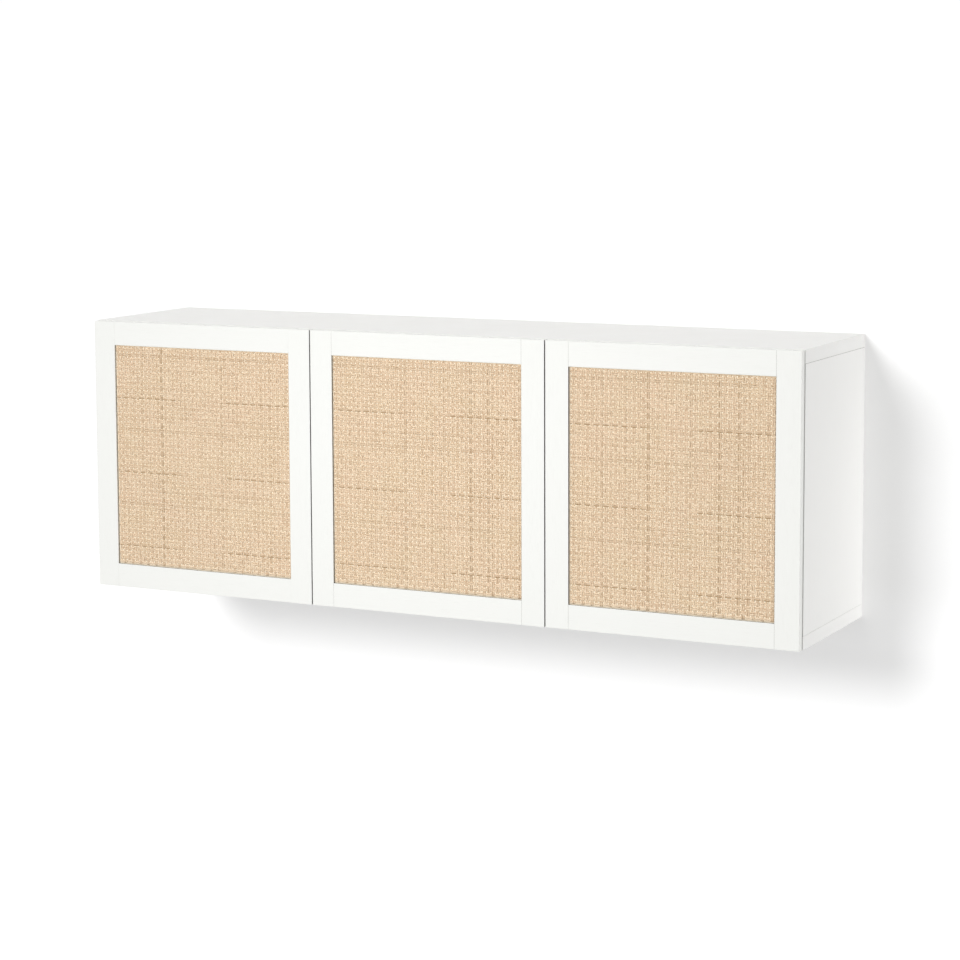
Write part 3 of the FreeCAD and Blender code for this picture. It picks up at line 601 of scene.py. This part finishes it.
screws = {
    "sides": 20,
    "domeSteps": 3,
    "crossWidth": 0.75 * mm,
    "crossSpan": 3.4 * mm,
    # head height, how far the dome draws in, depth of the cross
    "panel": (1.8 * mm, 0.34, 1.1 * mm),
    "cup": (0.8 * mm, 0.10, 0.6 * mm),
    "domeCurve": 2.5,
    "shankRadius": 1.5 * mm,
    "shankInHead": 0.9,          # the shank starts at this share of the head's height
    "rimShare": 0.95,            # points further out than this belong to the head's rim
    "seed": 5,
}


def buildScrewTree():
    tree, given, result = newTree("crossHeadScrews", "GeometryNodeTree", {
        "Geometry": "Spots", "Int": "Sides, Dome Steps, Seed", "Material": "Finish",
        "Float": "Head Radius, Head Height, Draw In, Shank Radius, Shank Length, Cross Width, Cross Span, "
                 "Cross Depth"}, {"Geometry": "Mesh"})
    m = partial(maths, tree)

    def moved(geometry, z):
        return put(tree, "GeometryNodeTransform", {"Geometry": geometry,
                                                   "Translation": combine(tree, z=z)}).outputs[0]

    # a head that draws in towards its top face, which lies at zero height
    drum = put(tree, "GeometryNodeMeshCylinder", {
        "Vertices": given["Sides"], "Side Segments": given["Dome Steps"],
        "Radius": given["Head Radius"], "Depth": given["Head Height"]})
    place = split(tree, put(tree, "GeometryNodeInputPosition").outputs[0])
    share = m("ADD", m("DIVIDE", place[2], given["Head Height"]), 0.5)
    draw = m("SUBTRACT", 1.0, m("MULTIPLY", given["Draw In"], m("POWER", share, screws["domeCurve"])))
    rounded = combine(tree, m("MULTIPLY", place[0], draw), m("MULTIPLY", place[1], draw), place[2])
    dome = put(tree, "GeometryNodeSetPosition", {"Geometry": drum.outputs[0], "Position": rounded})
    head = moved(dome.outputs[0], m("MULTIPLY", given["Head Height"], -0.5))

    # the cross, cut by two bars
    deep = m("MULTIPLY", given["Cross Depth"], 2.0)
    cut = put(tree, "GeometryNodeMeshBoolean", {"Mesh 1": head}, operation="DIFFERENCE", solver="EXACT")
    for first, second in (("Cross Span", "Cross Width"), ("Cross Width", "Cross Span")):
        bar = put(tree, "GeometryNodeMeshCube", {"Size": combine(tree, given[first], given[second], deep)})
        tree.links.new(bar.outputs[0], cut.inputs["Mesh 2"])

    shank = put(tree, "GeometryNodeMeshCylinder", {
        "Vertices": given["Sides"], "Radius": given["Shank Radius"], "Depth": given["Shank Length"]})
    under = m("MULTIPLY_ADD", given["Shank Length"], -0.5,
              m("MULTIPLY", given["Head Height"], -screws["shankInHead"]))
    whole = put(tree, "GeometryNodeJoinGeometry")
    for part in (cut.outputs["Mesh"], moved(shank.outputs[0], under)):
        tree.links.new(part, whole.inputs[0])

    # each screw looks along its own direction and is turned as it happened to be driven home
    looks = put(tree, "GeometryNodeInputNamedAttribute", {"Name": "looks"}, data_type="FLOAT_VECTOR")
    along = put(tree, "FunctionNodeAlignRotationToVector", {"Vector": looks.outputs[0]}, axis="Z").outputs[0]
    chance = put(tree, "FunctionNodeRandomValue", {2: 0.0, 3: math.pi / 2, "Seed": given["Seed"]},
                 data_type="FLOAT")
    spin = put(tree, "FunctionNodeEulerToRotation", {0: combine(tree, z=chance.outputs[1])})
    turned = put(tree, "FunctionNodeRotateRotation", {"Rotation": along, "Rotate By": spin.outputs[0]},
                 rotation_space="LOCAL")
    driven = put(tree, "GeometryNodeInstanceOnPoints", {
        "Points": given["Spots"], "Instance": whole.outputs[0], "Rotation": turned.outputs[0]})
    real = put(tree, "GeometryNodeRealizeInstances", {"Geometry": driven.outputs[0]})
    return finishTree(tree, given, result, real.outputs[0])


def looseParts(mesh):
    # the points of each separate part of a mesh, in a fixed order
    build = bmesh.new()
    build.from_mesh(mesh)
    bmesh.ops.remove_doubles(build, verts=build.verts, dist=tiny)
    seen, parts = set(), []
    for start in build.verts:
        if start in seen:
            continue
        seen.add(start)
        points, edge = [], [start]
        while edge:
            vertex = edge.pop()
            points.append(vertex.co[:])
            for link in vertex.link_edges:
                other = link.other_vert(vertex)
                if other not in seen:
                    seen.add(other)
                    edge.append(other)
        parts.append(np.array(points))
    build.free()
    return parts


def screwSpots(name):
    # the middle of each CAD screw's head face, the way it looks, and the screws' size
    spots, looks = [], []
    for points in looseParts(nodes[name].data):
        low, high = points.min(0), points.max(0)
        middle, axis = (low + high) / 2, int(np.argmax(high - low))
        reach = np.delete(np.abs(points - middle), axis, 1).max(1)
        rim = points[reach > reach.max() * screws["rimShare"], axis]
        headSide = 1 if rim.mean() > middle[axis] else -1
        spot = middle.copy()
        spot[axis] = high[axis] if headSide > 0 else low[axis]
        spots.append(spot.tolist())
        looks.append([headSide if place == axis else 0 for place in range(3)])
        length, radius = high[axis] - low[axis], reach.max()
    mesh = bpy.data.meshes.new(name + "_spots")
    mesh.from_pydata(spots, [], [])
    layer = mesh.attributes.new("looks", "FLOAT_VECTOR", "POINT")
    layer.data.foreach_set("vector", np.array(looks, np.float32).ravel())
    return mesh, length, radius


screwTree = buildScrewTree()


def driveScrews(name, kind):
    spots, length, radius = screwSpots(name)
    height, drawIn, depth = screws[kind]
    piece = runTree(name + "_crossed", screwTree, {
        "Sides": screws["sides"], "Dome Steps": screws["domeSteps"], "Head Radius": radius,
        "Head Height": height, "Draw In": drawIn, "Shank Radius": screws["shankRadius"],
        "Shank Length": length - height * screws["shankInHead"], "Cross Width": screws["crossWidth"],
        "Cross Span": screws["crossSpan"], "Cross Depth": depth, "Seed": screws["seed"],
        "Finish": slotFinishes["zinc_steel"]}, spots)
    standIn(piece, name)
    print(piece.name, "screws", len(spots.vertices), "faces", len(piece.data.polygons))


driveScrews("panel_screws", "panel")
for module in modules:
    driveScrews(f"{module}_door_cup_screws", "cup")


# ---- the woven panels

weave = {
    "pitchAcross": 11.12 * mm,    # one pair of strips and one hole
    "pitchDown": 11.235 * mm,
    "stripWidth": 3.95 * mm,
    "stripGap": 0.5 * mm,
    "stripThickness": 0.86 * mm,
    "lift": 0.45 * mm,            # how far a strip rises over the ones that it crosses
    "flatCrest": 1.7,             # above 1, a strip lies flat where it is over or under
    "stepsInPitch": 3,
    "sides": 6,
    "hexagon": 0.57735,           # a hexagon's radius, as a share of its height over the flats
    "sliver": 0.3 * mm,           # a strip that reaches in by less is left out
    "wobble": 1.2 * mm,           # how far a strip sways to one side and the other
    "widthDrift": 0.35,
    "driftScale": (28.0, 5.37),   # along a strip, and from strip to strip
    "widthSeed": (31.0, 7.0, 0.0),
    # where the first hole is, from the sheet's left edge and from its top edge
    "firstHoleAcross": {"left": 9.4 * mm, "middle": 3.4 * mm, "right": 3.4 * mm},
    "firstHoleDown": 3.6 * mm,
    "seed": 3.0, "doorSeed": 11.0, "weftSeed": 40.0,
}


def buildWeaveTree():
    tree, given, result = newTree("wovenStrips", "GeometryNodeTree", {
        "Int": "Strips, Skip, Steps, Sides", "Bool": "Level", "Material": "Finish",
        "Float": "Pitch, Crossing Pitch, Strip Width, Strip Gap, Strip Thickness, Lift, Over First, "
                 "First Pair, First Crossing, Grid Start, Across Low, Across High, Along Low, Along High, "
                 "Depth, Wobble, Width Drift, Seed"}, {"Geometry": "Mesh"})
    m = partial(maths, tree)

    def store(geometry, name, value, kind="FLOAT"):
        return put(tree, "GeometryNodeStoreNamedAttribute",
                   {"Geometry": geometry, "Name": name, "Value": value},
                   data_type=kind, domain="POINT").outputs[0]

    def recall(name):
        return put(tree, "GeometryNodeInputNamedAttribute", {"Name": name}, data_type="FLOAT").outputs[0]

    def within(value, low, high):
        return m("MINIMUM", m("MAXIMUM", value, low), high)

    def unevenness(place):
        return m("SUBTRACT", noise(tree, place, 1.0, 1.0), 0.5)

    # one point for each strip, numbered from the sheet's edge and set in pairs
    line = put(tree, "GeometryNodeMeshLine", {"Count": given["Strips"]})
    number = m("ADD", put(tree, "GeometryNodeInputIndex").outputs[0], given["Skip"])
    pair = m("FLOOR", m("DIVIDE", number, 2.0))
    second = m("SUBTRACT", number, m("MULTIPLY", pair, 2.0))
    apart = m("ADD", given["Strip Width"], given["Strip Gap"])
    centre = m("ADD", m("MULTIPLY_ADD", pair, given["Pitch"], given["First Pair"]),
               m("MULTIPLY", m("SUBTRACT", second, 0.5), apart))
    known = store(store(line.outputs[0], "strip", number), "centre", centre)
    placed = put(tree, "GeometryNodeSetPosition", {"Geometry": known, "Position": combine(tree, centre)})

    # a straight strip, cut into steps that match the crossings
    length = m("MULTIPLY", given["Steps"], m("DIVIDE", given["Crossing Pitch"], weave["stepsInPitch"]))
    bar = put(tree, "GeometryNodeMeshCylinder", {
        "Vertices": given["Sides"], "Side Segments": given["Steps"], "Radius": 1.0, "Depth": length})
    size = combine(tree, m("MULTIPLY", given["Strip Width"], 0.5),
                   m("MULTIPLY", given["Strip Thickness"], weave["hexagon"]), 1.0)
    shift = combine(tree, z=m("MULTIPLY_ADD", length, 0.5, given["Grid Start"]))
    strip = put(tree, "GeometryNodeTransform", {"Geometry": bar.outputs[0],
                                                "Translation": shift, "Scale": size})
    spaced = put(tree, "GeometryNodeInstanceOnPoints", {"Points": placed.outputs[0],
                                                        "Instance": strip.outputs[0]})
    real = put(tree, "GeometryNodeRealizeInstances", {"Geometry": spaced.outputs[0]})

    # over one pair, under the next, with the small unevenness of split wood
    place = split(tree, put(tree, "GeometryNodeInputPosition").outputs[0])
    own, middle = recall("strip"), recall("centre")
    along = within(place[2], given["Along Low"], given["Along High"])
    turn = m("ADD", m("DIVIDE", m("SUBTRACT", along, given["First Crossing"]), given["Crossing Pitch"]),
             m("FLOOR", m("DIVIDE", own, 2.0)))
    wave = within(m("MULTIPLY", m("COSINE", m("MULTIPLY", turn, math.pi)), weave["flatCrest"]), -1.0, 1.0)
    crest = m("MULTIPLY", wave, given["Over First"])
    rise = m("MULTIPLY", crest, given["Lift"])
    alongScale, stripScale = weave["driftScale"]
    drift = combine(tree, m("MULTIPLY", along, alongScale), m("MULTIPLY", own, stripScale), given["Seed"])
    swell = m("MULTIPLY_ADD", unevenness(vectorMaths(tree, "ADD", drift, weave["widthSeed"])),
              given["Width Drift"], 1.0)
    offset = m("MULTIPLY", m("SUBTRACT", place[0], middle), swell)
    swayed = m("MULTIPLY_ADD", unevenness(drift), given["Wobble"], middle)
    across = within(m("ADD", swayed, offset), given["Across Low"], given["Across High"])
    depth = m("ADD", given["Depth"], m("SUBTRACT", place[1], rise))
    chosen = put(tree, "GeometryNodeSwitch", {
        "Switch": given["Level"], "False": combine(tree, across, depth, along),
        "True": combine(tree, along, depth, m("MULTIPLY", across, -1.0))}, input_type="VECTOR")
    marked = store(real.outputs[0], "stripPlace", combine(tree, offset, own, along), "FLOAT_VECTOR")
    marked = store(marked, "crest", crest)
    woven = put(tree, "GeometryNodeSetPosition", {"Geometry": marked, "Position": chosen.outputs[0]})
    smooth = put(tree, "GeometryNodeSetShadeSmooth", {"Geometry": woven.outputs[0]})
    return finishTree(tree, given, result, smooth.outputs[0])


weaveTree = buildWeaveTree()

stripTones = {
    "heart": (0.768, 0.546, 0.349, 1),
    # rim: the paler edge colour, a painted highlight
    "rim": (0.972, 0.762, 0.54, 1),
    "light": (1.0, 0.83, 0.62, 1),
    "shade": (0.62, 0.435, 0.27, 1),
    "dark": (0.42, 0.265, 0.13, 1),
    "rosy": (0.90, 0.64, 0.46, 1),
    "olive": (0.84, 0.67, 0.42, 1),
    # how much each of them shows
    "tint": 0.22,
    "paintedHollowShade": 0.42,               # painted shade, darker where a strip dips beside a hole
    "paintedCrestHighlight": 0.26,               # painted highlight, paler where it stands out
    "drift": 0.55,
    "fleck": 0.8,
    "streaks": 0.14,
    "pores": 0.24,
    "stainEdge": 0.25,            # a dark strip is darkest along one of its edges
    "grainStretch": (2600, 9.7, 46),
    "fleckStretch": (460, 7.3, 260),
    "driftStretch": (3.71, 5.0),  # from strip to strip, and along a strip
    "tintScale": 16.0,
    "roughness": (0.52, 0.70),
    "bump": 0.00012,
    # the darker level strips: pair in the repeat, second strip of the pair, strength, and how strong
    # it is from one share of the door's width to another
    "weftRepeat": 16,
    "darkWefts": (
        (11, 1, 1.0, ((0.0, 0.38, 1.0), (0.62, 1.0, 1.0))),
        (15, 1, 0.55, ((0.0, 0.22, 0.2), (0.20, 0.80, 0.65), (0.78, 1.0, 0.45))),
        (2, 0, 0.42, ((0.0, 0.62, 1.0), (0.60, 1.0, 0.7))),
        (2, 1, 0.30, ((0.0, 0.62, 1.0), (0.60, 1.0, 0.7))),
    ),
    "elsewhere": 0.1,             # a dark level strip's strength in the rest of the width
    "stretchEnds": 20,            # the stretches fade in and out over one part in this many
    # each door's darker upright strips: number from the sheet's left edge, strength
    "darkWarps": {"left": {13: 0.25, 22: 0.35, 23: 0.75, 53: 0.4, 73: 0.15, 77: 0.15, 86: 0.45},
                  "middle": {34: 0.25, 35: 0.3, 47: 0.3, 52: 0.3, 64: 0.5, 65: 0.5, 72: 0.4, 73: 0.2,
                             74: 0.4, 86: 0.3},
                  "right": {15: 0.4, 25: 0.3, 34: 0.55, 35: 0.45, 52: 0.35, 64: 0.7, 65: 0.3, 72: 0.5,
                            73: 0.2, 74: 0.35}},
    "paleEdge": 0.7,              # the first strip beside the gap
    "paleFoot": (0.35, 0.85),     # painted light: the two strips along the bottom, which the frame shades, are made paler
}


def stripFinish():
    material, tree, place = newMaterial("splitPoplarStrip")
    tones = stripTones
    own = attribute(tree, "stripPlace")
    offset, strip, along = split(tree, own)[:3]
    stripScale, alongScale = tones["driftStretch"]
    # each strip has its own tone and its own fibres, and is paler along both of its edges, a painted
    # highlight where its rounded edges would catch light
    tone = noise(tree, combine(tree, maths(tree, "MULTIPLY", strip, stripScale),
                               maths(tree, "MULTIPLY", along, alongScale)), 1.0, 3.0, 0.6)
    grain = useGroup(tree, "grain", Place=own, Stretch=tones["grainStretch"], Bend=0.5)
    tint = noise(tree, place, tones["tintScale"])
    fleck = noise(tree, vectorMaths(tree, "MULTIPLY", own, tones["fleckStretch"]), 1.0, 1.0, 0.6)
    crest = attribute(tree, "crest", "Fac")
    rim = spread(tree, maths(tree, "ABSOLUTE", offset), 0.6 * mm, 1.8 * mm)
    colour = blendColours(tree, rim, tones["heart"], tones["rim"])
    # what is looked at, where it starts to show, where it shows in full, how much, and its colour
    for value, start, full, share, over in (
            # the first two rows: painted shade in the hollows and a painted highlight on the crests
            (crest, 0.9, 0.1, "paintedHollowShade", "shade"), (crest, 0.84, 1.0, "paintedCrestHighlight", "light"),
            (tone, 0.47, 0.70, "drift", "light"), (tone, 0.47, 0.30, "drift", "shade"),
            (tint, 0.52, 0.66, "tint", "rosy"), (tint, 0.48, 0.34, "tint", "olive"),
            (fleck, 0.53, 0.62, "fleck", "light"), (fleck, 0.46, 0.36, "fleck", "shade"),
            (grain["Streaks"], 0.0, 1.0, "streaks", "dark"), (grain["Pores"], 0.0, 1.0, "pores", "dark")):
        shown = spread(tree, value, start, full, 0.0, tones[share])
        colour = blendColours(tree, shown, colour, tones[over])
    # paler where the attribute says: the first upright strip, and painted light on the two bottom strips
    colour = blendColours(tree, attribute(tree, "bleach", "Fac"), colour, tones["light"])
    edge = spread(tree, offset, -1.2 * mm, 0.8 * mm, tones["stainEdge"], 1.0)
    stain = maths(tree, "MULTIPLY", attribute(tree, "stain", "Fac"), edge)
    colour = blendColours(tree, stain, colour, tones["dark"])
    rough = spread(tree, grain["Streaks"], 0.0, 1.0, *tones["roughness"])
    return finishWith(material, colour, rough, grain["Streaks"], tones["bump"])


stripMaterial = stripFinish()


def stainStrips(mesh, **toneOf):
    place = np.zeros(len(mesh.vertices) * 3, np.float32)
    mesh.attributes["stripPlace"].data.foreach_get("vector", place)
    place = place.reshape(-1, 3)
    for name, tone in toneOf.items():
        layer = mesh.attributes.new(name, "FLOAT", "POINT")
        layer.data.foreach_set("value", tone(place[:, 1], place[:, 2]).astype(np.float32))


def stripsFrom(pair, pitch, start, end):
    # the first strip that reaches into the sheet, and how many do
    half, apart = weave["stripWidth"] / 2, weave["stripWidth"] + weave["stripGap"]
    most = int((end - start) / pitch) * 2 + 6
    centres = [pair + number // 2 * pitch + (number % 2 - 0.5) * apart for number in range(most)]
    inside = [number for number, centre in enumerate(centres)
              if centre + half > start + weave["sliver"] and centre - half < end - weave["sliver"]]
    return inside[0], len(inside)


def stepsFrom(crossing, step, start, end):
    # grid lines one step apart, and at least one past each end of the strip
    first = math.floor((start - crossing) / step - 0.02)
    last = math.ceil((end - crossing) / step + 0.02)
    return crossing + first * step, last - first


def wovenPanel(module, seed):
    node = f"{module}_door_woven_panel"
    low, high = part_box(node)
    across, down = weave["pitchAcross"], weave["pitchDown"]
    # the pairs just outside the first hole
    warpPair = low.x + weave["firstHoleAcross"][module] - across / 2
    weftPair = high.z - weave["firstHoleDown"] + down / 2

    def lay(kind, overFirst, pair, pitch, span, crossing, crossingPitch, run, seed):
        # span and run: where the sheet starts and ends, over the strips' widths and over their lengths
        gridStart, steps = stepsFrom(crossing, crossingPitch / weave["stepsInPitch"], *run)
        first, count = stripsFrom(pair, pitch, *span)
        piece = runTree(f"{module}_door_{kind}_strips", weaveTree, {
            "Sides": weave["sides"], "Strip Width": weave["stripWidth"], "Strip Gap": weave["stripGap"],
            "Strip Thickness": weave["stripThickness"], "Lift": weave["lift"], "Wobble": weave["wobble"],
            "Width Drift": weave["widthDrift"], "Skip": first, "Strips": count, "Steps": steps,
            "Pitch": pitch, "Crossing Pitch": crossingPitch, "First Pair": pair,
            "First Crossing": crossing, "Grid Start": gridStart, "Across Low": span[0],
            "Across High": span[1], "Along Low": run[0], "Along High": run[1],
            "Depth": (low.y + high.y) / 2, "Over First": overFirst, "Seed": seed,
            "Level": kind == "weft", "Finish": stripMaterial})
        return piece, first, first + count - 1

    warps, firstWarp, _ = lay("warp", 1.0, warpPair, across, (low.x, high.x),
                              weftPair, down, (low.z, high.z), seed)
    wefts, _, lastWeft = lay("weft", -1.0, -weftPair, down, (-high.z, -low.z),
                             warpPair, across, (low.x, high.x), seed + weave["weftSeed"])

    def warpStain(strip, along):
        stain = np.zeros(len(strip))
        for number, strength in stripTones["darkWarps"][module].items():
            stain[np.abs(strip - number) < 0.5] = strength
        return stain

    def weftStain(strip, along):
        share = (along - low.x) / (high.x - low.x)
        stain = np.zeros(len(strip))
        pair = np.floor(strip / 2 + 0.01)
        for place, second, strength, stretches in stripTones["darkWefts"]:
            chosen = (pair % stripTones["weftRepeat"] == place) & (np.abs(strip - pair * 2 - second) < 0.5)
            window = np.full(len(strip), stripTones["elsewhere"])
            for start, end, weight in stretches:
                fromEnd = np.minimum(share - start, end - share)
                inside = np.clip(fromEnd * stripTones["stretchEnds"] + 0.5, 0, 1)
                window = np.maximum(window, inside * weight)
            stain[chosen] = (strength * window)[chosen]
        return stain

    def warpPaleEdge(strip, along):
        return np.where(strip < firstWarp + 0.5, stripTones["paleEdge"], 0.0)

    # painted light on the bottom strips, against the frame's shade
    def weftPaintedFootLight(strip, along):
        return np.interp(strip - lastWeft, (-2, -1, 0), (0.0, *stripTones["paleFoot"]))

    stainStrips(warps.data, stain=warpStain, bleach=warpPaleEdge)
    stainStrips(wefts.data, stain=weftStain, bleach=weftPaintedFootLight)
    for piece in (warps, wefts):
        standIn(piece, node)
        print(piece.name, "faces", len(piece.data.polygons))


for place, module in enumerate(modules):
    backingBoard(module)
    wovenPanel(module, weave["seed"] + weave["doorSeed"] * place)
print("panels woven")


# ---- wall, floor, light

studio = {
    "wallPlace": 1.2 * mm,
    "wallSize": (16.0, 9.0),
    "floorHeight": -1.34,
    "floorSize": 18.0,
    "colour": 0.95,
    "wallGlow": 0.085,
    "wallGlowBelow": 0.19,       # painted light: extra glow on the wall under the cabinet, standing in for light that comes back from the floor
    "glowTurns": (-0.60, -0.46),
    "floorGlow": 0.30,
    "world": 0.56,
}
suns = {                          # travel, strength, angle in degrees
    "key": ((0.155, 0.42, -0.185), 1.46, 20),
    "fill": ((-0.50, -0.25, -0.78), 0.625, 60),
}
panels = {                        # place, looks at, width, height, watts
    "front": ((-0.10, -1.45, -0.06), (-0.10, 0.0, -0.06), 1.1, 0.35, 1.75),
    "rim": ((1.38, 0.34, -0.36), (0.90, -0.10, -0.34), 0.3, 1.0, 2.75),
}


def seenRays(tree):
    # the rays of the camera, of gloss and of glass
    path = put(tree, "ShaderNodeLightPath").outputs
    return maths(tree, "MAXIMUM", path["Is Camera Ray"],
                 maths(tree, "MAXIMUM", path["Is Glossy Ray"], path["Is Transmission Ray"]))


def stageFinish(name, glow, glowBelow):
    # shown only to seen rays, and only from its front; nothing else meets it
    material, tree, place = newMaterial(name)
    tree.nodes.remove(tree.nodes["Principled BSDF"])
    paint = put(tree, "ShaderNodeBsdfDiffuse", {"Color": [studio["colour"]] * 3 + [1]})
    # painted light: the glow is stronger low on the wall, under the cabinet
    strength = spread(tree, split(tree, place)[2], *studio["glowTurns"], glowBelow, glow)
    light = put(tree, "ShaderNodeEmission", {"Strength": strength})
    lit = put(tree, "ShaderNodeAddShader", {0: paint.outputs[0], 1: light.outputs[0]})
    behind = put(tree, "ShaderNodeNewGeometry").outputs["Backfacing"]
    shown = maths(tree, "MULTIPLY", seenRays(tree), maths(tree, "SUBTRACT", 1.0, behind))
    clear = put(tree, "ShaderNodeBsdfTransparent")
    both = put(tree, "ShaderNodeMixShader", {0: shown, 1: clear.outputs[0], 2: lit.outputs[0]})
    tree.links.new(both.outputs[0], tree.nodes["Material Output"].inputs["Surface"])
    return material


def stagePlane(name, corners, finish):
    mesh = bpy.data.meshes.new(name)
    mesh.from_pydata(corners, [], [(0, 1, 2, 3)])
    mesh.materials.append(finish)
    placeObject(name, mesh)


half, tall = studio["wallSize"][0] / 2, studio["wallSize"][1]
base, wallY, reach = studio["floorHeight"], studio["wallPlace"], studio["floorSize"] / 2
stagePlane("wall", [(-half, wallY, base), (half, wallY, base), (half, wallY, base + tall),
                    (-half, wallY, base + tall)],
           stageFinish("paleWall", studio["wallGlow"], studio["wallGlowBelow"]))
stagePlane("floor", [(-reach, -reach, base), (reach, -reach, base), (reach, reach, base),
                     (-reach, reach, base)],
           stageFinish("paleFloor", studio["floorGlow"], studio["floorGlow"]))


def addLamp(name, kind, place, travel, strength):
    lamp = bpy.data.lights.new(name, kind)
    lamp.energy = strength
    holder = placeObject(name, lamp)
    holder.location = place
    holder.rotation_mode = "QUATERNION"
    holder.rotation_quaternion = Vector(travel).to_track_quat("-Z", "Y")
    holder.visible_camera = False
    return lamp


for name, (travel, strength, angle) in suns.items():
    addLamp(name, "SUN", (0, 0, 0), travel, strength).angle = math.radians(angle)
for name, (place, target, width, height, watts) in panels.items():
    lamp = addLamp(name, "AREA", place, Vector(target) - Vector(place), watts)
    lamp.shape, lamp.size, lamp.size_y = "RECTANGLE", width, height

world = bpy.data.worlds.new("studio")
world.use_nodes = True
bpy.context.scene.world = world
sky = world.node_tree
background = sky.nodes["Background"].inputs
background["Color"].default_value = (1, 1, 1, 1)
sky.links.new(spread(sky, seenRays(sky), 0.0, 1.0, studio["world"], 1.0), background["Strength"])


# ---- camera

view = {
    "place": (2.71678, -5.59137, 0.64192),
    "yaw": 0.46222,
    "pitch": -0.11017,
    "roll": -0.00389,
    "lens": 97.264,
    "sensor": 36,
    "shiftY": -0.1042,
    "clip": (0.05, 60),
}


def addCamera():
    camera = bpy.data.cameras.new("camera")
    camera.sensor_width = view["sensor"]
    camera.lens = view["lens"]
    camera.shift_y = view["shiftY"]
    camera.clip_start, camera.clip_end = view["clip"]
    holder = placeObject("camera", camera)
    yaw, pitch, roll = view["yaw"], view["pitch"], view["roll"]
    ahead = Vector((-math.sin(yaw) * math.cos(pitch), math.cos(yaw) * math.cos(pitch), math.sin(pitch)))
    right = Vector((math.cos(yaw), math.sin(yaw), 0))
    up = right.cross(ahead)
    turned = math.cos(roll) * right + math.sin(roll) * up
    upright = -math.sin(roll) * right + math.cos(roll) * up
    turn = Matrix((turned, upright, -ahead)).transposed().to_4x4()
    holder.matrix_world = Matrix.Translation(view["place"]) @ turn
    bpy.context.scene.camera = holder


addCamera()
bpy.context.scene.view_settings.view_transform = "Standard"
print("camera and light set")
